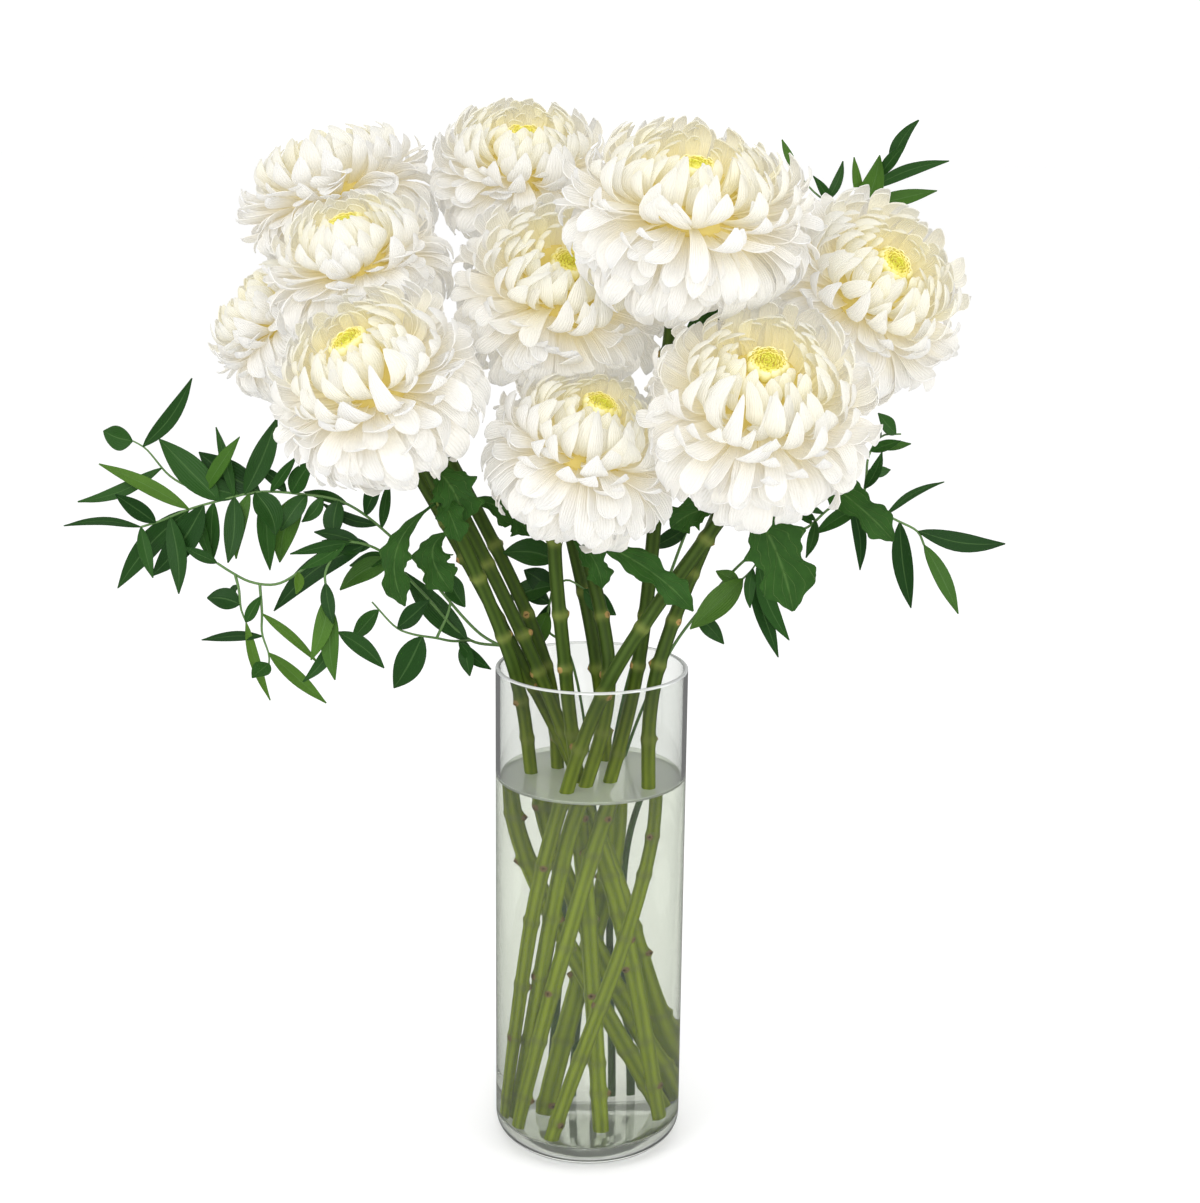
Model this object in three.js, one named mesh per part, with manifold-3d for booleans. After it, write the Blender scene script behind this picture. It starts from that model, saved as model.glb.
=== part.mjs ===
// White chrysanthemums and trailing ruscus standing in a glass cylinder vase of water.
// Millimetres, +Z up. The origin is the middle of the vase's foot. X runs right and Y runs back
// for someone looking at the front.
import * as THREE from "three";
import { mergeVertices } from "three/addons/utils/BufferGeometryUtils.js";
import Module from "manifold-3d";

const wasm = await Module();
wasm.setup();

const UP = new THREE.Vector3(0, 0, 1);
const DEGREE = Math.PI / 180;

// Vase: a straight glass cylinder with a thick foot, a rounded heel and a melted rim
const VASE_HEIGHT = 300;
const VASE_RADIUS = 57;
const VASE_WALL = 2.6;
const VASE_FLOOR = 13;
const VASE_HEEL = 14;
const VASE_CORNER = 5;
const VASE_SIDES = 28;
const WATER_LEVEL = 232;

// Room left between a piece and the one it stands in or touches
const GAP = 0.3;

// Flower stems
const STEM_RADIUS = 3.9;
const STEM_SIDES = 6;
const STEM_STEPS = 8;
const CALYX_RADIUS = 10;
const CALYX_HEIGHT = 13;
const WAIST_HEIGHT = 195;

// Flower heads
const PETALS_PER_BLOOM = 23;
const PETAL_SEED = 400;
const PETAL_HALF_WIDTH = 13;
const PETAL_KEEL = 1.8;
const GOLDEN_ANGLE = 137.508 * DEGREE;
// Cosine of the first petal's angle from the head's axis, and how far it falls to the last petal
const FIRST_COSINE = 0.82;
const COSINE_FALL = 1.52;
const SMALLEST_PETAL = 0.62;
const PETAL_GROWTH = 0.5;
// Petals nearer the axis than this curl up over the eye, and the others hang. tilts says how far
// each of a petal's four points lies from its middle line, and reaches how far out.
const REFLEX_ANGLE = 95 * DEGREE;
const INCURVED_TILTS = [8, 6, -8, -24].map((degrees) => degrees * DEGREE);
const REFLEXED_TILTS = [-7, -5, 9, 28].map((degrees) => degrees * DEGREE);
const PETAL_REACHES = [0.45, 0.82, 0.95, 0.97];
const PETAL_WIDTHS = [0.4, 0.85, 1];
const CORE_SIDES = 8;
const EYE_RADIUS = 12;
const EYE_SIDES = 8;

// Ruscus sprays and leaves. LOBED values shape the leaves of the flower stems.
const TWIG_RADIUS = 1.3;
const SIDE_TWIG_RADIUS = 0.9;
const TWIG_SIDES = 3;
const LEAF_KEEL = 1;
const LEAF_SEED = 500;
const LOBED_SHARES = [0.12, 0.34, 0.5, 0.62, 0.78, 0.9];
const LOBED_WIDTHS = [0.1, 0.55, 1, 0.6, 0.95, 0.45];
const LOBED_FACE = [0.1, -1, 0.35];
const BROAD_LEAF = 4.5;
const LEAF_DEPTH_SPREAD = 16;

// The photograph's viewpoint, which turns one of its pixels and a depth into a place
const VIEW = {
  distance: 1115.3,
  height: 614.65,
  dip: 13.88 * DEGREE,
  roll: 0.65 * DEGREE,
  turn: 0.224 * DEGREE,
  focalPixels: 1957,
  middlePixel: [600, 601.5],
};

// The point seen at a pixel of the photograph, at the given depth behind the vase's middle
function seen([column, row], depth) {
  const across = column - VIEW.middlePixel[0];
  const down = row - VIEW.middlePixel[1];
  const x = (across * Math.cos(VIEW.roll) + down * Math.sin(VIEW.roll)) / VIEW.focalPixels;
  const y = (down * Math.cos(VIEW.roll) - across * Math.sin(VIEW.roll)) / VIEW.focalPixels;
  const dipSine = Math.sin(VIEW.dip);
  const dipCosine = Math.cos(VIEW.dip);
  const ray = new THREE.Vector3(x, dipCosine - y * dipSine, -dipSine - y * dipCosine);
  ray.applyAxisAngle(UP, -VIEW.turn);
  return new THREE.Vector3(0, -VIEW.distance, VIEW.height).addScaledVector(
    ray,
    (depth + VIEW.distance) / ray.y,
  );
}

// Flowers, from the left to the right. centrePixel and depth place the middle of the head, facing
// is the way its eye looks, squash is its height over its width, and eyeDepth is how far out the
// eye sits. rim, waist and foot are where the stem crosses the rim, the bundle's waist and the floor.
const FLOWERS = [
  {
    centrePixel: [285, 325], depth: 50, radius: 46, squash: 0.9, facing: [-0.7, -0.1, 0.65], eyeDepth: 0.66,
    rim: [-42, 4], waist: [3, 15], foot: [34, 29],
  },
  {
    centrePixel: [340, 203], depth: 75, radius: 60, squash: 0.82, facing: [-0.3, 0.1, 0.9], eyeDepth: 0.66,
    rim: [-29, 15], waist: [-16, 16], foot: [36, 19],
  },
  {
    centrePixel: [360, 270], depth: -5, radius: 53, squash: 0.85, facing: [-0.25, -0.25, 0.9], eyeDepth: 0.68,
    rim: [-32, -8], waist: [3, 5], foot: [35, -6],
  },
  {
    centrePixel: [377, 388], depth: -70, radius: 59, squash: 0.88, facing: [-0.4, -0.45, 0.8], eyeDepth: 0.7,
    rim: [-45, -15], waist: [-30, 11], foot: [31, 11],
  },
  {
    centrePixel: [522, 175], depth: 55, radius: 55, squash: 0.8, facing: [0.05, -0.35, 0.9], eyeDepth: 0.62,
    rim: [2, 22], waist: [9, 33], foot: [-18, 7],
  },
  {
    centrePixel: [560, 297], depth: -10, radius: 64, squash: 0.8, facing: [0.2, -0.6, 0.78], eyeDepth: 0.56,
    rim: [10, -16], waist: [-12, -19], foot: [-35, -8],
  },
  {
    centrePixel: [583, 455], depth: -50, radius: 56, squash: 0.88, facing: [0.3, -0.35, 0.88], eyeDepth: 0.72,
    rim: [-15, -23], waist: [-4, -8], foot: [7, -20],
  },
  {
    centrePixel: [688, 218], depth: -55, radius: 70, squash: 0.74, facing: [0.1, -0.35, 0.93], eyeDepth: 0.62,
    rim: [27, -4], waist: [2, -16], foot: [-38, -23],
  },
  {
    centrePixel: [757, 410], depth: -80, radius: 64, squash: 0.9, facing: [0.08, -0.62, 0.78], eyeDepth: 0.68,
    rim: [9, -40], waist: [-22, -26], foot: [-44, -9],
  },
  {
    centrePixel: [863, 297], depth: -5, radius: 61, squash: 0.85, facing: [0.45, -0.62, 0.62], eyeDepth: 0.66,
    rim: [38, -14], waist: [31, -24], foot: [-20, -38],
  },
];

// Lobed leaves of the flower stems: the stem they grow on, the pixels of the foot, the middle and
// the tip of the blade, the depth of its middle, and half its width in millimetres
const STEM_LEAVES = [
  { stem: 3, pixels: [[436, 452], [452, 478], [463, 521]], depth: -58, halfWidth: 14 },
  { stem: 3, pixels: [[446, 482], [447, 505], [460, 541]], depth: -66, halfWidth: 8 },
  { stem: 3, pixels: [[442, 500], [383, 535], [405, 606]], depth: -45, halfWidth: 9 },
  { stem: 3, pixels: [[455, 530], [418, 540], [452, 592]], depth: -30, halfWidth: 12 },
  { stem: 2, pixels: [[480, 485], [505, 500], [530, 536]], depth: 12, halfWidth: 11 },
  { stem: 6, pixels: [[570, 530], [630, 548], [693, 611]], depth: -66, halfWidth: 9 },
  { stem: 6, pixels: [[574, 528], [592, 545], [602, 588]], depth: -42, halfWidth: 8 },
  { stem: 7, pixels: [[672, 345], [700, 322], [738, 318]], depth: 12, halfWidth: 11 },
  { stem: 8, pixels: [[722, 506], [700, 505], [671, 528]], depth: -38, halfWidth: 10 },
  { stem: 8, pixels: [[735, 500], [768, 515], [793, 611]], depth: -48, halfWidth: 19 },
  { stem: 9, pixels: [[785, 452], [836, 482], [893, 541]], depth: -22, halfWidth: 11 },
];

// Ruscus sprays. inVase is the main stem's way up the glass in millimetres. A route's points are
// [pixel column, pixel row, depth]. A leaf is [foot pixel, tip pixel, half width in millimetres] and
// springs from the nearest point of the spray's twigs.
const SPRAYS = [
  {
    name: "ruscus_upper_left",
    inVase: [[-12, 42, VASE_FLOOR], [-12, 44, WAIST_HEIGHT], [-45, 13, VASE_HEIGHT]],
    routes: [
      [[478, 632, 12], [400, 545, 5], [345, 503, 0], [300, 494, 0], [258, 492, 0], [222, 500, -5],
        [190, 509, -5], [160, 521, -5], [141, 527, -5]],
      [[222, 500, -5], [194, 489, 0], [170, 476, 5], [145, 448, 5], [133, 441, 5]],
    ],
    leaves: [
      [[145, 446], [192, 378], 4.2], [[133, 440], [104, 431], 6.5], [[159, 469], [78, 502], 4],
      [[184, 499], [99, 464], 4.2], [[155, 522], [115, 494], 4.6], [[141, 526], [64, 526], 2.4],
      [[188, 509], [118, 588], 6.5], [[207, 508], [152, 576], 7.5], [[172, 518], [179, 594], 5.2],
      [[143, 527], [153, 578], 3.6], [[200, 507], [214, 563], 3.6], [[219, 500], [159, 439], 7.6],
      [[205, 493], [240, 437], 4.2], [[232, 498], [216, 427], 3], [[262, 492], [199, 452], 8],
      [[240, 495], [188, 476], 6], [[246, 494], [277, 418], 6], [[212, 504], [212, 563], 4.8],
      [[234, 498], [228, 563], 5.4], [[251, 493], [236, 559], 4], [[256, 492], [276, 535], 7],
      [[264, 492], [270, 570], 5], [[301, 495], [280, 562], 7], [[307, 494], [281, 531], 5],
      [[290, 494], [312, 462], 5.6], [[270, 492], [296, 457], 3], [[286, 493], [254, 467], 3.4],
      [[340, 501], [334, 540], 6],
      [[322, 500], [302, 522], 3.6], [[348, 505], [304, 492], 3], [[376, 528], [322, 503], 3.2],
      [[366, 516], [386, 474], 5], [[380, 528], [389, 480], 2.8],
    ],
  },
  {
    name: "ruscus_lower_left",
    inVase: [[-5, 42, VASE_FLOOR], [-5, 44, WAIST_HEIGHT], [-43, 26, VASE_HEIGHT]],
    routes: [
      [[470, 640, 22], [420, 590, 10], [375, 548, -12], [340, 543, -20], [305, 568, -25], [277, 584, -25],
        [251, 582, -25], [231, 572, -25], [217, 563, -25]],
      [[237, 576, -25], [239, 590, -30], [241, 609, -30], [246, 622, -30]],
      [[260, 585, -25], [262, 613, -30], [262, 633, -30], [269, 655, -30], [269, 664, -30]],
      [[340, 543, -20], [325, 575, -30], [332, 605, -34], [338, 632, -34]],
      [[470, 640, 22], [452, 641, 6], [436, 638, -6], [412, 634, -12], [397, 628, -14], [372, 602, -16]],
      [[436, 638, -6], [450, 605, -10], [446, 565, -8], [437, 535, -5]],
    ],
    leaves: [
      [[238, 585], [230, 603], 2.8], [[240, 606], [207, 598], 6], [[246, 621], [261, 596], 3.2],
      [[245, 622], [270, 700], 2.8], [[262, 634], [202, 640], 2.8], [[262, 613], [318, 663], 2.6],
      [[269, 664], [252, 678], 4.8], [[269, 655], [326, 703], 3.8], [[365, 548], [274, 611], 6.4],
      [[328, 596], [311, 660], 4.8], [[333, 612], [335, 680], 4.8], [[326, 585], [333, 624], 3.6],
      [[337, 630], [303, 682], 3.6], [[338, 631], [384, 668], 4.8], [[345, 545], [301, 569], 3.4],
      [[352, 545], [290, 554], 3], [[300, 571], [296, 594], 2.6], [[392, 562], [340, 590], 6],
      [[420, 636], [394, 688], 8], [[397, 628], [430, 600], 5.6], [[468, 643], [405, 572], 7],
      [[449, 570], [465, 607], 5.6], [[466, 646], [470, 676], 4.4], [[460, 644], [491, 669], 3.6],
      [[380, 610], [352, 640], 4.6],
      [[372, 546], [322, 541], 5], [[360, 545], [314, 532], 3.8], [[217, 563], [184, 547], 3],
      [[385, 560], [350, 566], 4.6],
    ],
  },
  {
    name: "ruscus_middle",
    inVase: [[2, 42, VASE_FLOOR], [2, 44, WAIST_HEIGHT], [-16, 42, VASE_HEIGHT]],
    routes: [
      [[548, 630, 38], [552, 590, 32], [556, 560, 26]],
      [[552, 590, 32], [568, 580, 18], [584, 589, 12]],
    ],
    leaves: [
      [[556, 562], [503, 553], 7.5], [[553, 587], [508, 600], 6.5], [[550, 612], [528, 655], 6],
      [[584, 589], [616, 615], 5.6],
      [[551, 606], [514, 584], 5], [[550, 604], [532, 650], 4], [[552, 590], [524, 570], 6.5],
    ],
  },
  {
    name: "ruscus_right",
    inVase: [[14, 42, VASE_FLOOR], [14, 44, WAIST_HEIGHT], [45, 19, VASE_HEIGHT]],
    routes: [
      [[700, 610, 26], [745, 560, 22], [785, 535, 8], [808, 527, 4], [834, 506, 2], [862, 505, 0],
        [898, 521, 0], [918, 532, 0], [924, 545, 0]],
      [[862, 505, 0], [866, 480, 6], [869, 455, 12], [882, 436, 16], [901, 434, 18]],
      [[700, 610, 26], [725, 592, 12], [748, 574, 4], [760, 558, -4]],
    ],
    leaves: [
      [[745, 577], [690, 629], 7], [[752, 569], [750, 608], 3.4], [[750, 573], [778, 657], 4.8],
      [[757, 562], [789, 640], 4.8], [[738, 583], [716, 571], 4], [[700, 618], [724, 644], 4.6],
      [[918, 532], [1005, 544], 5.4], [[924, 545], [958, 614], 4.6], [[899, 522], [911, 608], 5.4],
      [[852, 506], [860, 570], 3.6], [[861, 506], [815, 534], 4.2], [[888, 516], [944, 482], 2.2],
      [[866, 487], [882, 452], 3.2], [[867, 470], [890, 470], 3.2], [[870, 452], [901, 441], 3],
      [[895, 434], [878, 413], 4.4], [[880, 437], [868, 426], 3.6], [[815, 522], [806, 558], 3],
      [[810, 525], [795, 492], 3.2], [[872, 448], [911, 444], 3],
      [[822, 515], [786, 493], 2.4], [[816, 520], [787, 503], 2.4],
    ],
  },
  {
    name: "ruscus_upper_right",
    inVase: [[8, 42, VASE_FLOOR], [9, 45, WAIST_HEIGHT], [27, 33, VASE_HEIGHT]],
    routes: [
      [[660, 600, 62], [700, 500, 76], [760, 400, 86], [815, 300, 88], [850, 225, 84], [872, 185, 80],
        [890, 166, 78]],
      [[828, 270, 88], [836, 215, 84], [812, 190, 82], [796, 172, 82]],
    ],
    leaves: [
      [[797, 172], [782, 140], 2.6], [[826, 204], [843, 161], 2.8], [[834, 208], [813, 176], 2.8],
      [[890, 166], [919, 120], 4.2], [[868, 190], [949, 161], 3.6], [[856, 212], [937, 191], 4.8],
      [[862, 200], [854, 157], 2.8], [[850, 226], [880, 155], 6.6], [[880, 178], [906, 144], 3.4],
      [[690, 530], [651, 548], 5],
    ],
  },
];

// A repeatable run of draws between 0 and 1
function drawsFrom(seed) {
  let state = seed;
  return () => {
    state = (state + 0x6d2b79f5) | 0;
    let mixed = Math.imul(state ^ (state >>> 15), 1 | state);
    mixed = (mixed + Math.imul(mixed ^ (mixed >>> 7), 61 | mixed)) ^ mixed;
    return ((mixed ^ (mixed >>> 14)) >>> 0) / 4294967296;
  };
}

// A solid that can be joined and cut, from a closed geometry
function solidOf(geometry) {
  const bare = geometry.clone();
  bare.deleteAttribute("normal");
  bare.deleteAttribute("uv");
  const merged = mergeVertices(bare, 1e-4);
  const mesh = new wasm.Mesh({
    numProp: 3,
    vertProperties: Float32Array.from(merged.attributes.position.array),
    triVerts: Uint32Array.from(merged.index.array),
  });
  return new wasm.Manifold(mesh);
}

// The mesh of a finished solid
function meshOf(name, solid, material) {
  const { vertProperties, triVerts, numProp } = solid.getMesh();
  const positions = new Float32Array((vertProperties.length / numProp) * 3);
  for (let i = 0; i < positions.length / 3; i += 1) {
    positions.set(vertProperties.subarray(i * numProp, i * numProp + 3), i * 3);
  }
  const geometry = new THREE.BufferGeometry();
  geometry.setAttribute("position", new THREE.BufferAttribute(positions, 3));
  geometry.setIndex(new THREE.BufferAttribute(Uint32Array.from(triVerts), 1));
  geometry.computeVertexNormals();
  const mesh = new THREE.Mesh(geometry, material);
  mesh.name = name;
  return mesh;
}

// A closed solid over rings of equally many points. The last ring may be a single point.
function solidOverRings(rings) {
  const corners = rings.flat();
  const firsts = rings.map((ring, i) => rings.slice(0, i).reduce((sum, each) => sum + each.length, 0));
  const faces = [];
  const around = rings[0].length;
  for (let k = 1; k < around - 1; k += 1) {
    faces.push([firsts[0], firsts[0] + k + 1, firsts[0] + k]);
  }
  for (let i = 0; i + 1 < rings.length; i += 1) {
    const last = rings[i + 1].length === 1;
    for (let k = 0; k < around; k += 1) {
      const next = (k + 1) % around;
      if (last) {
        faces.push([firsts[i] + k, firsts[i] + next, firsts[i + 1]]);
      } else {
        faces.push([firsts[i] + k, firsts[i] + next, firsts[i + 1] + next]);
        faces.push([firsts[i] + k, firsts[i + 1] + next, firsts[i + 1] + k]);
      }
    }
  }
  if (rings.at(-1).length > 1) {
    for (let k = 1; k < around - 1; k += 1) {
      faces.push([firsts.at(-1), firsts.at(-1) + k, firsts.at(-1) + k + 1]);
    }
  }
  const cross = new THREE.Vector3();
  const volume = faces.reduce((sum, [a, b, c]) => {
    return sum + corners[a].dot(cross.crossVectors(corners[b], corners[c]));
  }, 0);
  const turned = volume < 0 ? faces.map(([a, b, c]) => [a, c, b]) : faces;
  const mesh = new wasm.Mesh({
    numProp: 3,
    vertProperties: Float32Array.from(corners.flatMap((corner) => corner.toArray())),
    triVerts: Uint32Array.from(turned.flat()),
  });
  return new wasm.Manifold(mesh);
}

// A turned solid standing on a point, with its height along an axis
function turnedSolid(profile, sides, base, axis) {
  const outline = profile.map(([radius, height]) => new THREE.Vector2(radius, height));
  const geometry = new THREE.LatheGeometry(outline, sides);
  geometry.applyQuaternion(new THREE.Quaternion().setFromUnitVectors(new THREE.Vector3(0, 1, 0), axis));
  geometry.translate(base.x, base.y, base.z);
  return solidOf(geometry);
}

// A round rod along a curve
function rod(curve, radius, sides, steps) {
  const section = new THREE.Shape();
  for (let k = 0; k < sides; k += 1) {
    const angle = (k * 2 * Math.PI) / sides;
    const x = radius * Math.cos(angle);
    const y = radius * Math.sin(angle);
    if (k === 0) {
      section.moveTo(x, y);
    } else {
      section.lineTo(x, y);
    }
  }
  return solidOf(new THREE.ExtrudeGeometry(section, { steps, extrudePath: curve }));
}

// A blade along a spine: flat on its face, with a keel behind. halfWidths has one value for each
// point of the spine but the last, which is the tip. grown makes it larger all round.
function blade(spine, halfWidths, face, keel, grown = 0) {
  const rings = halfWidths.map((halfWidth, i) => {
    const along = spine[i + 1].clone().sub(spine[Math.max(i - 1, 0)]).normalize();
    const side = new THREE.Vector3().crossVectors(along, face).normalize();
    const front = new THREE.Vector3().crossVectors(side, along).normalize();
    const left = spine[i].clone().addScaledVector(side, -halfWidth - grown).addScaledVector(front, grown);
    const right = spine[i].clone().addScaledVector(side, halfWidth + grown).addScaledVector(front, grown);
    const back = spine[i].clone().addScaledVector(front, -keel - grown);
    return [left, right, back];
  });
  const tip = spine.at(-1).clone();
  tip.addScaledVector(tip.clone().sub(spine.at(-2)).normalize(), 2 * grown);
  return solidOverRings([...rings, [tip]]);
}

// True if a solid meets none of the others
function isClear(solid, others) {
  const box = solid.boundingBox();
  return others.every((other) => {
    const near = other.boundingBox();
    const apart = [0, 1, 2].some((i) => box.min[i] > near.max[i] || box.max[i] < near.min[i]);
    return apart || solid.intersect(other).isEmpty();
  });
}

// The point in the middle of some rods, each a curve and its steps, that shows nearest to a pixel
function nearestOn(rods, pixel) {
  const points = rods.flatMap(({ curve, steps }) => {
    const ends = curve.getSpacedPoints(steps);
    const shares = [0.2, 0.4, 0.6, 0.8, 1];
    return ends.slice(1).flatMap((end, i) => shares.map((share) => ends[i].clone().lerp(end, share)));
  });
  const miss = (point) => point.distanceTo(seen(pixel, point.y));
  return points.reduce((best, point) => (miss(point) < miss(best) ? point : best));
}

// Glass vase, open at the top
function vaseSolid() {
  const inner = VASE_RADIUS - VASE_WALL;
  const rimRound = VASE_WALL / 2;
  const heel = [25, 65].map((degrees) => [
    VASE_RADIUS - VASE_HEEL + VASE_HEEL * Math.sin(degrees * DEGREE),
    VASE_HEEL - VASE_HEEL * Math.cos(degrees * DEGREE),
  ]);
  const profile = [
    [0, 0],
    [VASE_RADIUS - VASE_HEEL, 0],
    ...heel,
    [VASE_RADIUS, VASE_HEEL + 2],
    [VASE_RADIUS, VASE_HEIGHT - rimRound],
    [VASE_RADIUS - rimRound, VASE_HEIGHT],
    [inner, VASE_HEIGHT - rimRound],
    [inner, VASE_FLOOR + VASE_CORNER],
    [inner - VASE_CORNER, VASE_FLOOR],
    [0, VASE_FLOOR],
  ];
  return turnedSolid(profile, VASE_SIDES, new THREE.Vector3(), UP);
}

// Water up to its level, with a plain hole round each stem
function waterSolid(stemHoles) {
  const outer = VASE_RADIUS - VASE_WALL - GAP;
  const profile = [
    [0, VASE_FLOOR],
    [outer - VASE_CORNER, VASE_FLOOR],
    [outer, VASE_FLOOR + VASE_CORNER],
    [outer, WATER_LEVEL],
    [0, WATER_LEVEL],
  ];
  return stemHoles.reduce(
    (water, hole) => water.subtract(hole),
    turnedSolid(profile, VASE_SIDES, new THREE.Vector3(), UP),
  );
}

// A block from the floor of the vase down, to cut feet level
function belowFloor() {
  const block = new THREE.BoxGeometry(4 * VASE_RADIUS, 4 * VASE_RADIUS, 100);
  block.translate(0, 0, VASE_FLOOR - 50);
  return solidOf(block);
}

function facingOf(flower) {
  return new THREE.Vector3(...flower.facing).normalize();
}

// Where the head's green cup ends and its petals begin
function neckOf(flower) {
  const centre = seen(flower.centrePixel, flower.depth);
  return centre.addScaledVector(facingOf(flower), -0.42 * flower.radius * flower.squash);
}

// The curve of a flower's stem, from just under the vase's floor to the cup
function stemCurve(flower) {
  const axis = facingOf(flower);
  const neck = neckOf(flower).addScaledVector(axis, -CALYX_HEIGHT);
  const rim = new THREE.Vector3(...flower.rim, VASE_HEIGHT);
  const waist = new THREE.Vector3(...flower.waist, WAIST_HEIGHT);
  const foot = new THREE.Vector3(...flower.foot, VASE_FLOOR);
  foot.addScaledVector(foot.clone().sub(waist).normalize(), 4);
  const bend = neck.clone().addScaledVector(axis, -0.16 * neck.distanceTo(rim));
  return new THREE.CatmullRomCurve3([foot, waist, rim, bend, neck], false, "centripetal");
}

function stemRod(flower, grown = 0) {
  return rod(stemCurve(flower), STEM_RADIUS + grown, STEM_SIDES, STEM_STEPS);
}

// Stem with the green cup under the petals, its foot cut level on the vase's floor
function stemSolid(flower) {
  const axis = facingOf(flower);
  const top = neckOf(flower).addScaledVector(axis, -GAP);
  const cupProfile = [
    [0, -CALYX_HEIGHT],
    [STEM_RADIUS, -CALYX_HEIGHT],
    [0.8 * CALYX_RADIUS, -0.45 * CALYX_HEIGHT],
    [CALYX_RADIUS, 0],
    [0, 0],
  ];
  const cup = turnedSolid(cupProfile, CORE_SIDES, top, axis);
  return stemRod(flower).add(cup).subtract(belowFloor());
}

// Flat walls that keep neighbouring heads apart, each shared in proportion to their sizes
function wallsRound(flower) {
  const centre = seen(flower.centrePixel, flower.depth);
  return FLOWERS.filter((other) => other !== flower).map((other) => {
    const normal = seen(other.centrePixel, other.depth).sub(centre);
    const distance = normal.length();
    normal.normalize();
    const reach = (distance * flower.radius) / (flower.radius + other.radius);
    return { normal, limit: centre.dot(normal) + reach };
  });
}

// Pushes a point of a petal back inside the walls, by as much as its width needs
function keepInside(point, side, halfWidth, walls) {
  walls.forEach(({ normal, limit }) => {
    const margin = halfWidth * Math.abs(side.dot(normal)) + PETAL_KEEL + 2 * GAP;
    const over = point.dot(normal) - (limit - margin);
    if (over > 0) {
      point.addScaledVector(normal, -over);
    }
  });
}

// The receptacle that the petals stand out of
function coreSolid(flower) {
  const height = flower.radius * flower.squash;
  const profile = [
    [0, 0],
    [CALYX_RADIUS, 0],
    [0.56 * flower.radius, 0.2 * height],
    [0.64 * flower.radius, 0.5 * height],
    [0.46 * flower.radius, 0.86 * height],
    [EYE_RADIUS + 2, (0.42 + flower.eyeDepth) * height - 0.1 * height],
    [0, (0.42 + flower.eyeDepth) * height - 0.1 * height],
  ];
  return turnedSolid(profile, CORE_SIDES, neckOf(flower), facingOf(flower));
}

// The eye: a low mound of young yellow florets on the receptacle
function eyeSolid(flower) {
  const axis = facingOf(flower);
  const base = neckOf(flower).addScaledVector(
    axis,
    (0.32 + flower.eyeDepth) * flower.radius * flower.squash + GAP,
  );
  const turn = new THREE.Quaternion().setFromUnitVectors(UP, axis);
  const levels = [
    [0.85, 0],
    [1, 3],
    [0.6, 7],
  ];
  const rings = levels.map(([size, height], level) => {
    return Array.from({ length: EYE_SIDES }, (unused, k) => {
      const lobe = k % 2 === 0 ? 1 : 0.8;
      const angle = ((k + 0.5 * level) * 2 * Math.PI) / EYE_SIDES;
      const spread = EYE_RADIUS * size * (level === 0 ? 0.9 : lobe);
      const point = new THREE.Vector3(spread * Math.cos(angle), spread * Math.sin(angle), height);
      return point.applyQuaternion(turn).add(base);
    });
  });
  return solidOverRings([...rings, [base.clone().addScaledVector(axis, 8)]]);
}

// One petal. slant is its angle from the head's axis and turn its angle round the axis.
function petalSpine(flower, slant, turn, draw) {
  const axis = facingOf(flower);
  const centre = seen(flower.centrePixel, flower.depth);
  const start = new THREE.Vector3(1, 0, 0).cross(axis).normalize();
  const outward = start.applyAxisAngle(axis, turn);
  const side = new THREE.Vector3().crossVectors(axis, outward);
  const place = (angle, reach) => {
    const along = Math.cos(angle) * reach * flower.radius * flower.squash;
    const across = Math.sin(angle) * reach * flower.radius;
    return centre.clone().addScaledVector(axis, along).addScaledVector(outward, across);
  };
  const tilts = slant < REFLEX_ANGLE ? INCURVED_TILTS : REFLEXED_TILTS;
  const longer = 1 + 0.06 * (draw() - 0.5);
  const spine = tilts.map((tilt, k) => place(slant + tilt, PETAL_REACHES[k] * (k > 1 ? longer : 1)));
  return { spine, side, outward };
}

// A whole head: petals in a golden-angle spiral over the receptacle, clear of stems and eyes
function bloomSolid(flower, index, obstacles) {
  const draw = drawsFrom(PETAL_SEED + index);
  const walls = wallsRound(flower);
  let head = coreSolid(flower);
  for (let i = 0; i < PETALS_PER_BLOOM; i += 1) {
    const share = (i + 0.5) / PETALS_PER_BLOOM;
    const slant = Math.acos(FIRST_COSINE - COSINE_FALL * share);
    const turn = i * GOLDEN_ANGLE + 0.2 * (draw() - 0.5);
    const size = SMALLEST_PETAL + PETAL_GROWTH * share;
    const { spine, side, outward } = petalSpine(flower, slant, turn, draw);
    const halfWidths = PETAL_WIDTHS.map((part) => part * size * PETAL_HALF_WIDTH);
    spine.forEach((point, k) => keepInside(point, side, halfWidths[k] ?? 0, walls));
    const face = facingOf(flower).addScaledVector(outward, -0.6);
    if (isClear(blade(spine, halfWidths, face, PETAL_KEEL, GAP), obstacles)) {
      head = head.add(blade(spine, halfWidths, face, PETAL_KEEL));
    }
  }
  return head;
}

// Depths that a leaf is tried at, nearest first, until it meets nothing else
const DEPTH_TRIES = [0, -8, 8, -16, 16, -26, 26, -38, 38, -52, 52];

// The first of a leaf's tried shapes that is clear of the others
function firstClear(shapeAt, others) {
  const depth = DEPTH_TRIES.find((shift) => isClear(shapeAt(shift, GAP), others));
  return depth === undefined ? undefined : shapeAt(depth, 0);
}

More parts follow.
